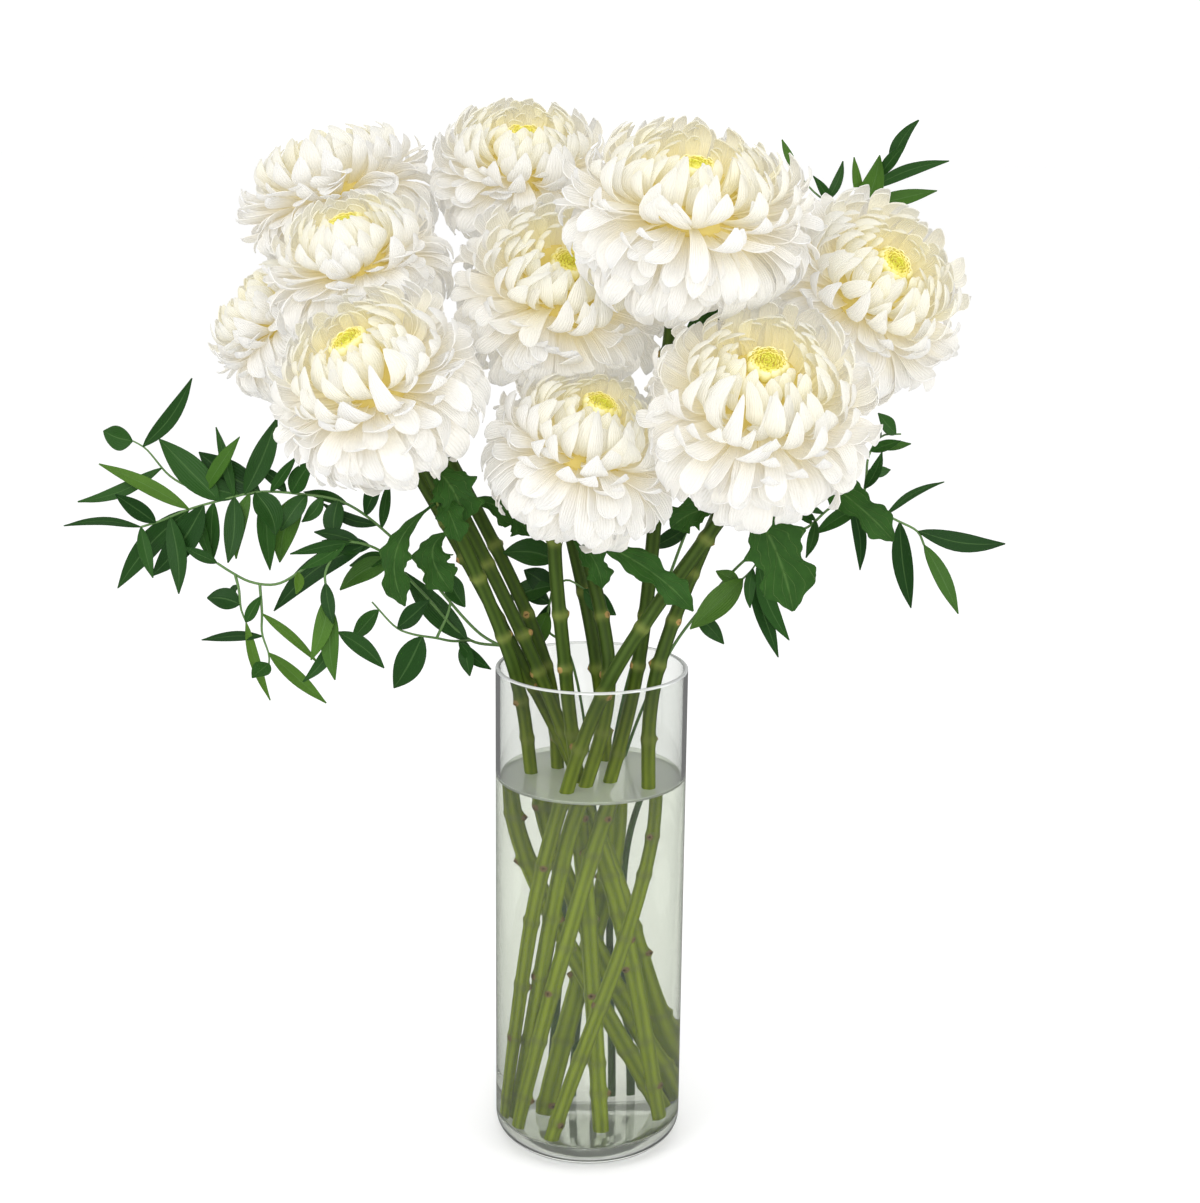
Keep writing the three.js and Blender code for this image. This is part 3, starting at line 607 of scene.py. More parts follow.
def tube(form, points, sides, section):
    """Adds a rod along points, closed at its ends. section gives its radius and tones at a place on it."""
    points, side, other = (
        np.concatenate([each[:1], each, each[-1:]]) for each in (points, *frames_along(points))
    )
    rows = len(points) - 1

    def place(u, v):
        row = np.rint(v * rows).astype(int)
        turn = (u + 1) * math.pi
        radius, tones = section(turn, np.clip((row - 1) / (rows - 2), 0, 1))
        radius = radius * ((row > 0) & (row < rows))
        across = np.cos(turn)[:, None] * side[row] + np.sin(turn)[:, None] * other[row]
        return points[row] + radius[:, None] * across, tones

    made = sheet(form, sides, rows, place)
    bmesh.ops.remove_doubles(form, verts=made, dist=MERGE)
    bmesh.ops.recalc_face_normals(form, faces=form.faces)


def axis_of(flower):
    return Vector(flower["facing"]).normalized()


def centre_of(flower):
    return seen(flower["centre"], flower["depth"])


def neck_of(flower):
    """Where the green cup ends and the petals begin."""
    return centre_of(flower) - axis_of(flower) * NECK_SHARE * flower["radius"] * flower["squash"]


def stem_line(flower):
    """Points along the middle of a stem, from just under the vase's floor to its cup, and its length."""
    axis = axis_of(flower)
    cup_foot = neck_of(flower) - axis * CUP_HEIGHT
    rim = Vector((*flower["rim"], VASE_HEIGHT))
    waist = Vector((*flower["waist"], WAIST_HEIGHT))
    foot = Vector((*flower["foot"], VASE_FLOOR))
    foot += (foot - waist).normalized() * FOOT_SINK
    bend = cup_foot - axis * BEND_SHARE * (cup_foot - rim).length
    course = [foot, waist, rim, bend, cup_foot]
    length = centripetal(course, 2)[1]
    points = centripetal(course, int(length / STEM_ROW))[0]
    cup = [cup_foot + axis * CUP_HEIGHT * share for share in CUP_SHARES]
    return np.concatenate([points, cup]), length


def add_stem(form, flower, draw):
    """Adds a ribbed stem with its joints, leaf scars and cup."""
    points, length = stem_line(flower)
    steps = np.linalg.norm(np.diff(points, axis=0), axis=1)
    places = np.concatenate([[0], np.cumsum(steps)])
    count = int(length / JOINT_SPACING)
    joints = (np.arange(count) + draw.uniform(0.2, 0.8, count)) * JOINT_SPACING
    turns = np.arange(count) * GOLDEN_ANGLE + draw.uniform(0, 6)
    scars = draw.uniform(*SCAR_HEIGHTS, count)

    def section(turn, share):
        place = np.interp(share, np.linspace(0, 1, len(points)), places)
        near = np.exp(-(((place[:, None] - joints) / JOINT_LENGTH) ** 2))
        off = (turn[:, None] - turns + math.pi) % (2 * math.pi) - math.pi
        scar = near**1.5 * np.exp(-((off / SCAR_WIDTH) ** 2))
        flare = np.clip((place - length) / CUP_HEIGHT, 0, 1)
        radius = STEM_RADIUS * (STEM_FULLNESS + RIB_DEPTH * np.cos(STEM_RIBS * turn))
        radius = radius * (1 + JOINT_SWELL * near.max(axis=1)) + (scar * scars).max(axis=1)
        radius += (CUP_RADIUS - STEM_RADIUS) * np.sin(flare * math.pi / 2)
        return radius, {"joint": near.max(axis=1), "scar": scar.max(axis=1)}

    tube(form, points, STEM_SIDES, section)
    bmesh.ops.bisect_plane(
        form,
        geom=form.verts[:] + form.edges[:] + form.faces[:],
        plane_co=(0, 0, VASE_FLOOR + STEM_CLEARANCE),
        plane_no=(0, 0, 1),
        clear_inner=True,
    )
    ends = [edge for edge in form.edges if edge.is_boundary]
    bmesh.ops.holes_fill(form, edges=ends, sides=0)


bark = Finish("stem_skin")
streaks = bark.noise(90, 4, (1, 1, 0.12))
furrow = bark.math("SINE", bark.across() * (2 * math.pi * STEM_RIBS) + streaks * 4)
# Painted light and shade by height: much lighter under the water, darker higher up.
skin = bark.blend(bark.fade(bark.part(bark.places(), "Z"), *PAINTED_LIGHT_HEIGHTS, 1.0, 0.0), STEM_GREEN, UNDERWATER_PAINTED_LIGHT_GREEN)
skin = bark.blend(0.35 + 0.35 * furrow, skin, FURROW_SHADE, "MULTIPLY")
skin = bark.blend(bark.attribute("joint") * JOINT_SHARE, skin, JOINT_GREEN)
scarred = bark.attribute("scar") + bark.noise(700, 2) * 0.3
skin = bark.blend(bark.fade(scarred, *TAN_EDGE), skin, SCAR_TAN)
skin = bark.blend(bark.fade(scarred, *BROWN_EDGE), skin, SCAR_BROWN)
fibres = bark.bump(bark.noise(260, 5, (1, 1, 0.1)), 0.5, 0.0006)
stem_skin = bark.wear(
    bark.surface(skin, 0.45 + 0.2 * streaks, {"Specular IOR Level": 0.2, "Normal": fibres})
)
for index, flower in enumerate(FLOWERS):
    form = blank("joint", "scar")
    add_stem(form, flower, np.random.default_rng(40 + index))
    node = f"stem_{index + 1:02d}"
    dress(put(f"{node}_rod", form, [stem_skin]), node)


# Leaves of the flower stems. A few lobed chrysanthemum leaves are left on the upper stems. They are
# soft, dark green and veined, and grow from the stem by a short stalk.
LEAF_THICKNESS = 0.0006
LEAF_DARK = (0.014, 0.050, 0.008)
LEAF_LIGHT = (0.032, 0.100, 0.014)
LEAF_VEIN = (0.10, 0.19, 0.05)
LEAF_VEINS = 44
LOBED_COLUMNS = 12
LOBED_ROWS = 30
LOBED_SHARES = (0, 0.12, 0.34, 0.5, 0.62, 0.78, 0.9, 1)
LOBED_WIDTHS = (0.08, 0.1, 0.55, 1, 0.6, 0.95, 0.45, 0.05)
LOBED_FACE = (0.1, -1, 0.35)
LOBED_FOLD = 0.28
LOBE_SWEEP = 0.3
TOOTH_DEPTH = 0.09
TOOTH_WAVES = 52
RIPPLE_HEIGHT = 0.0022
RIPPLE_WAVES = 17
STEM_LEAF_MEASURES = ("stem", "pixels", "depth", "half_width")
STEM_LEAF_ROWS = [
    (3, ((436, 452), (452, 478), (463, 521)), -0.058, 0.014),
    (3, ((446, 482), (447, 505), (460, 541)), -0.066, 0.008),
    (3, ((442, 500), (383, 535), (405, 606)), -0.045, 0.009),
    (3, ((455, 530), (418, 540), (452, 592)), -0.03, 0.012),
    (2, ((480, 485), (505, 500), (530, 536)), 0.012, 0.011),
    (6, ((570, 530), (630, 548), (693, 611)), -0.066, 0.009),
    (6, ((574, 528), (592, 545), (602, 588)), -0.042, 0.008),
    (7, ((672, 345), (700, 322), (738, 318)), 0.012, 0.011),
    (8, ((722, 506), (700, 505), (671, 528)), -0.038, 0.01),
    (8, ((735, 500), (768, 515), (793, 611)), -0.048, 0.019),
    (9, ((785, 452), (836, 482), (893, 541)), -0.022, 0.011),
]
STEM_LEAVES = [dict(zip(STEM_LEAF_MEASURES, row)) for row in STEM_LEAF_ROWS]


def nearest_on(points, pixel):
    """The one of some points that shows nearest to a pixel of the photograph."""
    return min((Vector(p) for p in points), key=lambda point: (point - seen(pixel, point.y)).length)


def unit(vectors):
    return vectors / np.linalg.norm(vectors, axis=-1, keepdims=True)


def leaf_frames(spine, face):
    """For each point of a leaf's spine, the unit vectors across the blade and out of its face."""
    along = unit(np.gradient(spine, axis=0))
    side = unit(np.cross(along, np.array(face)))
    return side, np.cross(side, along)


def between(rows, places):
    """Values at places between the rows of a table."""
    return np.stack([np.interp(places, np.arange(len(rows)), column) for column in rows.T], axis=1)


def lobed_place(spine, face, half_width, wave):
    """Puts the points of a lobed leaf: its edge waves, and its halves fold up a little."""
    side, front = leaf_frames(spine, face)

    def place(u, v):
        lobes = np.interp(v, LOBED_SHARES, LOBED_WIDTHS)
        teeth = 1 + TOOTH_DEPTH * np.sin(v * TOOTH_WAVES + wave) * (lobes > 0.2)
        reach = u * np.maximum(half_width * lobes * teeth, LEAF_THICKNESS)
        row = (v + LOBE_SWEEP * np.abs(u) * v * (1 - v)) * (len(spine) - 1)
        ripple = RIPPLE_HEIGHT * np.sin(v * RIPPLE_WAVES + wave) * u**2 * lobes
        rise = LOBED_FOLD * np.abs(reach) + ripple
        lifted = rise[:, None] * between(front, row)
        return between(spine, row) + reach[:, None] * between(side, row) + lifted, {"tone": wave / 6}

    return place


def thicken(form, thickness):
    """Makes closed blades of sheets: a copy of each is lifted off it and joined to it round the edge."""
    form.normal_update()
    lifted = bmesh.ops.extrude_face_region(form, geom=form.faces[:], use_keep_orig=True)["geom"]
    for vert in lifted:
        if isinstance(vert, bmesh.types.BMVert):
            vert.co += vert.normal * thickness
    bmesh.ops.recalc_face_normals(form, faces=form.faces)
    return form


lamina = Finish("lobed_leaf")
from_rib = lamina.math("ABSOLUTE", lamina.across() - 0.5)
rib = lamina.fade(from_rib, 0.0, 0.04, 1.0, 0.0)
vein_wave = lamina.math("SINE", (lamina.onward() - from_rib * 0.7) * LEAF_VEINS)
vein = lamina.fade(vein_wave, 0.9, 1.0, 0.0, 0.8)
mottle = lamina.noise(120, 4)
green = lamina.blend(mottle, LEAF_DARK, LEAF_LIGHT)
green = lamina.blend(lamina.math("MAXIMUM", rib, vein) * 0.5, green, LEAF_VEIN)
veined = lamina.bump(vein * -1 + mottle * 0.4, 0.7, 0.0008)
lobed_leaf = lamina.wear(
    lamina.surface(green, 0.5 + 0.15 * mottle, {"Specular IOR Level": 0.1, "Normal": veined})
)
stem_points = [stem_line(flower)[0] for flower in FLOWERS]
for stem in sorted({leaf["stem"] for leaf in STEM_LEAVES}):
    form = blank("tone")
    for index, leaf in enumerate(STEM_LEAVES):
        if leaf["stem"] == stem:
            foot = nearest_on(stem_points[stem], leaf["pixels"][0])
            middle, tip = (seen(pixel, leaf["depth"]) for pixel in leaf["pixels"][1:])
            control = middle.lerp(foot, -0.2)
            spine = np.array([
                (1 - t) ** 2 * np.array(foot) + 2 * t * (1 - t) * np.array(control) + t**2 * np.array(tip)
                for t in np.linspace(0, 1, LOBED_ROWS)
            ])
            place = lobed_place(spine, LOBED_FACE, leaf["half_width"], 0.9 * index)
            sheet(form, LOBED_COLUMNS, 2 * LOBED_ROWS, place)
    node = f"stem_{stem + 1:02d}"
    dress(put(f"{node}_leaves", thicken(form, LEAF_THICKNESS), [lobed_leaf]), node)


# Heads. Each chrysanthemum head is a ball of some three hundred white petals on a small receptacle.
# Those near the eye curl up over it and those lower down turn out and hang. Angles that are drawn
# for a petal are given as a mean and a spread in degrees.
PETALS_PER_HEAD = 330
PETAL_COLUMNS = 4
PETAL_ROWS = 8
PETAL_THICKNESS = 0.0005
PETAL_HALF_WIDTH = 0.0029
PETAL_GROWTH = 0.0041
PETAL_ROOT = 0.36
SHORTEST_REACH = 0.74
REACH_RANGE = (0.9, 1.08)
WIDTH_RANGE = (0.8, 1.2)
PROFILE_SHARES = (0, 0.3, 0.55, 0.75, 0.86, 0.945, 1)
PROFILE_WIDTHS = (0.35, 0.62, 0.93, 1, 0.87, 0.62, 0.27)
YOUNG_CUP = 0.36
CUP_FALL = 0.2
CUP_SPREAD = 0.08
DEEPEST_NOTCH = 0.03
NOTCHED_SHARE = 0.4
INNER_SLANT = math.radians(20)
OLDEST_SLANT = math.radians(110)
TURNING_SLANT = math.radians(80)
TURNING_SPREAD = math.radians(10)
YOUNG_SPREAD = math.radians(30)
TINTED_SPREAD = math.radians(50)
COSINE_FALL = 1.58
SLANT_DRAW = (0, 3)
TURNING_DRAW = (0, 8)
CURL_IN = (-13, 5)
CURL_OUT = (28, 7)
YOUNG_UNCURLED = 0.8
ROOT_IN = 9
ROOT_OUT = 8
SHORT_SLANT = math.radians(12)
SHORT_SPREAD = math.radians(45)
ROLL_SPREAD = 7
ROLL_GROWTH = 9
SWAY_SPREAD = 0.07
HOOD = math.radians(9)
SOFT_WALL = 0.005
SHARED_ROOM = 0.005
POCKETS = {3: (383, 381), 5: (547, 312), 7: (686, 226), 8: (736, 408), 9: (845, 296)}
POCKET_DEPTH = 0.85
POCKET_WIDTH = math.radians(17)
POCKET_PUSH = math.radians(15)
HEART_SIDES = 24
HEART_PROFILE = ((0.36, 0.2), (0.42, 0.5), (0.32, 0.82))
HEART_TOP = 0.010
# Creamy yellow towards each petal's root: partly the petals' own colour, partly painted warm shade of the
# deep gaps.
PETAL_STOPS = [
    (0.0, (0.87, 0.815, 0.57)),
    (0.25, (0.85, 0.825, 0.74)),
    (0.5, (0.825, 0.82, 0.80)),
    (1.0, (0.80, 0.805, 0.81)),
]
PETAL_GLOW = (1.0, 0.98, 0.94)
PETAL_CREAM = (1.0, 0.985, 0.945)
PETAL_TINT = (0.95, 0.88, 0.42)
TINT_SHARE = 0.62
PETAL_GROOVES = 44
PETAL_THINNESS = 0.42
PETAL_LIT = 0.24
# The receptacle's cream-yellow is partly its own colour, partly painted warm shade for the deep gaps
# between the petals.
HEART_CREAM = (0.84, 0.70, 0.24)


def walls_round(index):
    """Unit vectors towards the other heads, and how far this head may reach along each."""
    flower = FLOWERS[index]
    centre = centre_of(flower)
    walls = []
    for other in FLOWERS:
        if other is not flower:
            towards = centre_of(other) - centre
            share = flower["radius"] / (flower["radius"] + other["radius"])
            reach = towards.length * share + SHARED_ROOM
            walls.append((np.array(towards.normalized()), centre.dot(towards.normalized()) + reach))
    return walls


def keep_inside(points, walls):
    """Presses points back softly where they come near the walls between heads."""
    for normal, limit in walls:
        over = (points @ normal - limit) / SOFT_WALL
        points = points - (np.logaddexp(0, over) * SOFT_WALL)[:, None] * normal
    return points


def turned(axis, turn):
    """The unit vector out from an axis at a turn round it, and the one across both."""
    start = unit(np.cross((1, 0, 0), axis))
    outward = start * math.cos(turn) + np.cross(axis, start) * math.sin(turn)
    return outward, np.cross(axis, outward)


def youth(slant, spread):
    """1 for the petals round the eye, and 0 for those a spread or more further out."""
    return min(max(1 - (slant - INNER_SLANT) / spread, 0), 1)


def petal_place(flower, walls, pocket, slant, turn, draw):
    """Puts the points of one petal. slant is its angle from the eye and turn its angle round it."""

    def drawn(mean, spread):
        return math.radians(draw.normal(mean, spread))

    axis = np.array(axis_of(flower))
    centre = np.array(centre_of(flower))
    outward, across = turned(axis, turn)
    slant += drawn(*SLANT_DRAW)
    turning = (slant - TURNING_SLANT + drawn(*TURNING_DRAW)) / TURNING_SPREAD
    hang = 1 / (1 + math.exp(-turning))
    age = min(slant / OLDEST_SLANT, 1)
    young = youth(slant, YOUNG_SPREAD)
    curl_in = drawn(*CURL_IN) * (1 - YOUNG_UNCURLED * young)
    curl_out = drawn(*CURL_OUT)
    curl = curl_in * (1 - hang) + curl_out * hang
    root_turn = math.radians(ROOT_IN * (1 - hang) - ROOT_OUT * hang)
    rise = min(max((slant + curl - SHORT_SLANT) / SHORT_SPREAD, 0), 1)
    far = (SHORTEST_REACH + (1 - SHORTEST_REACH) * rise**0.8) * draw.uniform(*REACH_RANGE)
    roll = drawn(0, ROLL_SPREAD + ROLL_GROWTH * age)
    half_width = (PETAL_HALF_WIDTH + PETAL_GROWTH * age) * draw.uniform(*WIDTH_RANGE)
    cup = YOUNG_CUP - CUP_FALL * age + draw.uniform(-CUP_SPREAD, CUP_SPREAD)
    notch = draw.uniform(0, DEEPEST_NOTCH) * (draw.random() < NOTCHED_SHARE)
    sway = draw.normal(0, SWAY_SPREAD)
    hood = HOOD * (1 - hang) * (1 - young)
    tone = draw.random()
    tinted = youth(slant, TINTED_SPREAD)

    def spine(v):
        angle = slant + root_turn + (curl - root_turn) * v**2 - hood * v**6
        reach = PETAL_ROOT + (far - PETAL_ROOT) * (1 - np.abs(1 - v) ** 1.6)
        direction = np.cos(angle)[:, None] * axis + np.sin(angle)[:, None] * outward
        direction = unit(direction + (sway * v**2)[:, None] * across)
        if pocket is not None:
            away = direction - (direction @ pocket)[:, None] * pocket
            apart = np.arccos(np.clip(direction @ pocket, -1, 1))
            push = POCKET_PUSH * np.exp(-((apart / POCKET_WIDTH) ** 2)) * np.abs(v) ** 1.5
            apace = push / (np.linalg.norm(away, axis=1) + 0.1)
            direction = unit(direction + apace[:, None] * away)
        flat = (direction @ axis)[:, None] * axis
        shaped = flat * flower["squash"] + (direction - flat)
        return centre + shaped * (reach * flower["radius"])[:, None]

    def place(u, v):
        v = 1 - (1 - v) ** 1.4
        corners = 0.025 * u**2 * v**6
        short = v * (1 - corners - notch * np.exp(-((u / 0.35) ** 2)) * v**8)
        along = unit(spine(short + 0.01) - spine(short - 0.01))
        inner_face = unit(np.cross(along, across))
        side = across * math.cos(roll) + inner_face * math.sin(roll)
        lifted = inner_face * math.cos(roll) - across * math.sin(roll)
        point = 1 - 0.5 * hang * np.clip((v - 0.7) / 0.3, 0, 1) ** 2
        width = half_width * np.interp(v, PROFILE_SHARES, PROFILE_WIDTHS) * point
        points = spine(short) + (u * width)[:, None] * side + (cup * width * u**2)[:, None] * lifted
        return keep_inside(points, walls), {"tone": tone, "young": tinted * (1 - 0.6 * v)}

    return place


def heart_outline(flower):
    """Outline of the receptacle under the petals, from the neck to the eye."""
    radius = flower["radius"]
    height = radius * flower["squash"]
    top = (0.26 + flower["eye_depth"]) * height
    belly = [(across * radius, up * height) for across, up in HEART_PROFILE]
    return [(0, 0), (0.6 * CUP_RADIUS, 0), *belly, (HEART_TOP, top), (0, top)]


def stand_on(form, base, axis):
    """Stands a form that was made upright on a point, with its height along an axis."""
    turn = axis.to_track_quat("Z", "Y").to_matrix().to_4x4()
    bmesh.ops.transform(form, matrix=Matrix.Translation(base) @ turn, verts=form.verts)


silk = Finish("white_petal")
# The ramp's cream-yellow roots are partly painted warm shade of the deep gaps.
white = silk.ramp(silk.onward(), PETAL_STOPS)
white = silk.blend(silk.attribute("tone") * 0.5, white, PETAL_CREAM, "MULTIPLY")
white = silk.blend(silk.attribute("young") * TINT_SHARE, white, PETAL_TINT)
grooves = silk.math("SINE", silk.across() * PETAL_GROOVES + silk.noise(140, 2) * 3)
relief = silk.bump(grooves, 0.42, 0.0005)
lit_side = silk.lit(white, 0.55, PETAL_LIT, {"Specular IOR Level": 0.3, "Normal": relief})
warm = silk.blend(1.0, white, PETAL_GLOW, "MULTIPLY")
glow = silk.node("ShaderNodeBsdfTranslucent", {}, {"Color": warm, "Normal": relief})
white_petal = silk.wear(silk.mix(PETAL_THINNESS, lit_side, glow))
# The receptacle's colour is partly painted warm shade showing in the gaps between the petals.
flesh = Finish("receptacle")
receptacle = flesh.wear(flesh.surface(HEART_CREAM, 0.8))

for index, flower in enumerate(FLOWERS):
    node = f"bloom_{index + 1:02d}"
    draw = np.random.default_rng(100 + index)
    walls = walls_round(index)
    pocket = None
    if index in POCKETS:
        centre = centre_of(flower)
        opening = seen(POCKETS[index], centre.y - POCKET_DEPTH * flower["radius"])
        pocket = np.array((opening - centre).normalized())
    form = blank("tone", "young")
    for i in range(PETALS_PER_HEAD):
        share = (i + 0.5) / PETALS_PER_HEAD
        slant = math.acos(math.cos(INNER_SLANT) - COSINE_FALL * share)
        turn = i * GOLDEN_ANGLE + draw.uniform(-0.2, 0.2)
        sheet(form, PETAL_COLUMNS, PETAL_ROWS, petal_place(flower, walls, pocket, slant, turn, draw))
    dress(put(f"{node}_petals", thicken(form, PETAL_THICKNESS), [white_petal]), node)
    heart = spun(heart_outline(flower), HEART_SIDES)
    stand_on(heart, neck_of(flower), axis_of(flower))
    dress(put(f"{node}_heart", heart, [receptacle]), node)


# Eyes. The middle of each head is a low mound of young florets, yellow-green, each a small curled
# spoon no longer than a fingernail. Those at the edge are the longest and the palest.
FLORETS_PER_EYE = 70
FLORET_COLUMNS = 3
FLORET_ROWS = 5
EYE_RADIUS = 0.0102
EYE_HEIGHT = 0.004
EYE_SINK = 0.002
EYE_SHARE = 0.32
FLORET_LENGTH = 0.006
FLORET_HALF_WIDTH = 0.0009
FLORET_GROWTH = 0.0016
FLORET_THICKNESS = 0.0004
FLORET_LEAN = 0.15
LEAN_GROWTH = 0.9
SPOON_SHARES = (0, 0.5, 0.85, 1)
SPOON_WIDTHS = (0.5, 0.9, 1, 0.6)
FLORET_STOPS = [(0.0, (0.72, 0.73, 0.07)), (0.45, (0.91, 0.84, 0.25)), (1.0, (0.93, 0.89, 0.62))]
FLORET_ROOT = (0.84, 0.77, 0.20)
FLORET_THINNESS = 0.25
FLORET_LIT = 0.14


def floret_place(base, axis, share, turn, draw):
    """Puts the points of one floret, which leans in over the middle of the eye."""
    outward, across = turned(axis, turn)
    spread = EYE_RADIUS * math.sqrt(share)
    root = base + outward * spread + axis * (EYE_HEIGHT * (1 - share) - EYE_SINK)
    lean = FLORET_LEAN + LEAN_GROWTH * share + draw.normal(0, 0.12)
    length = FLORET_LENGTH * (0.45 + 0.9 * share) * draw.uniform(0.75, 1.2)
    width = (FLORET_HALF_WIDTH + FLORET_GROWTH * share) * draw.uniform(0.8, 1.2)
    tone = share + draw.uniform(-0.15, 0.15)

    def place(u, v):
        out = length * math.sin(lean) * (v - 1.05 * v**2)
        rise = length * (v - 0.25 * v**2)
        middle = root + out[:, None] * outward + rise[:, None] * axis
        broad = width * np.interp(v, SPOON_SHARES, SPOON_WIDTHS)
        hollow = 0.6 * broad * u**2
        return middle + (u * broad)[:, None] * across - hollow[:, None] * outward, {"tone": tone}

    return place


pollen = Finish("yellow_floret")
yellow = pollen.ramp(pollen.attribute("tone"), FLORET_STOPS)
yellow = pollen.blend(pollen.onward(), FLORET_ROOT, yellow)
glow = pollen.node("ShaderNodeBsdfTranslucent", {}, {"Color": yellow})
yellow_floret = pollen.wear(pollen.mix(FLORET_THINNESS, pollen.lit(yellow, 0.5, FLORET_LIT), glow))
for index, flower in enumerate(FLOWERS):
    node = f"eye_{index + 1:02d}"
    draw = np.random.default_rng(300 + index)
    axis = np.array(axis_of(flower))
    height = (EYE_SHARE + flower["eye_depth"]) * flower["radius"] * flower["squash"] + STEM_CLEARANCE
    base = np.array(neck_of(flower)) + axis * height
    form = blank("tone")
    for i in range(FLORETS_PER_EYE):
        share = (i + 0.5) / FLORETS_PER_EYE
        sheet(form, FLORET_COLUMNS, FLORET_ROWS, floret_place(base, axis, share, i * GOLDEN_ANGLE, draw))
    dress(put(f"{node}_florets", thicken(form, FLORET_THICKNESS), [yellow_floret]), node)


# Ruscus. Five trailing sprays of Italian ruscus stand among the flowers. Their wiry green twigs run
# up from the vase's floor and carry pointed, leathery, dark green leaves. A route's points are a
# pixel and a depth in millimetres, and a leaf is the pixels of its foot and tip and its half width.
TWIG_RADIUS = 0.0013
SIDE_TWIG_RADIUS = 0.0009
TWIG_TAPER = 0.45
TWIG_SIDES = 8
TWIG_ROW = 0.003
FEWEST_ROWS = 6
MILLIMETRE = 0.001
FULLNESS = 1.12
LEAF_COLUMNS = 6
LEAF_ROWS = 12
LEAF_FOLD = 0.22
LEAF_WAVE = 0.06
LEAF_DEPTH_SPREAD = 0.016
FACE_SPREAD = 0.8
BOW_SPREAD = 0.16
RUSCUS_STOPS = [
    (0.0, (0.010, 0.045, 0.007)),
    (0.75, (0.026, 0.095, 0.012)),
    (1.0, (0.10, 0.21, 0.022)),
]
RUSCUS_DARK = (0.009, 0.032, 0.006)
RUSCUS_RIB = (0.10, 0.20, 0.06)
LEAF_LINES = 70
TWIG_DARK = (0.05, 0.13, 0.03)
TWIG_LIGHT = (0.13, 0.24, 0.06)
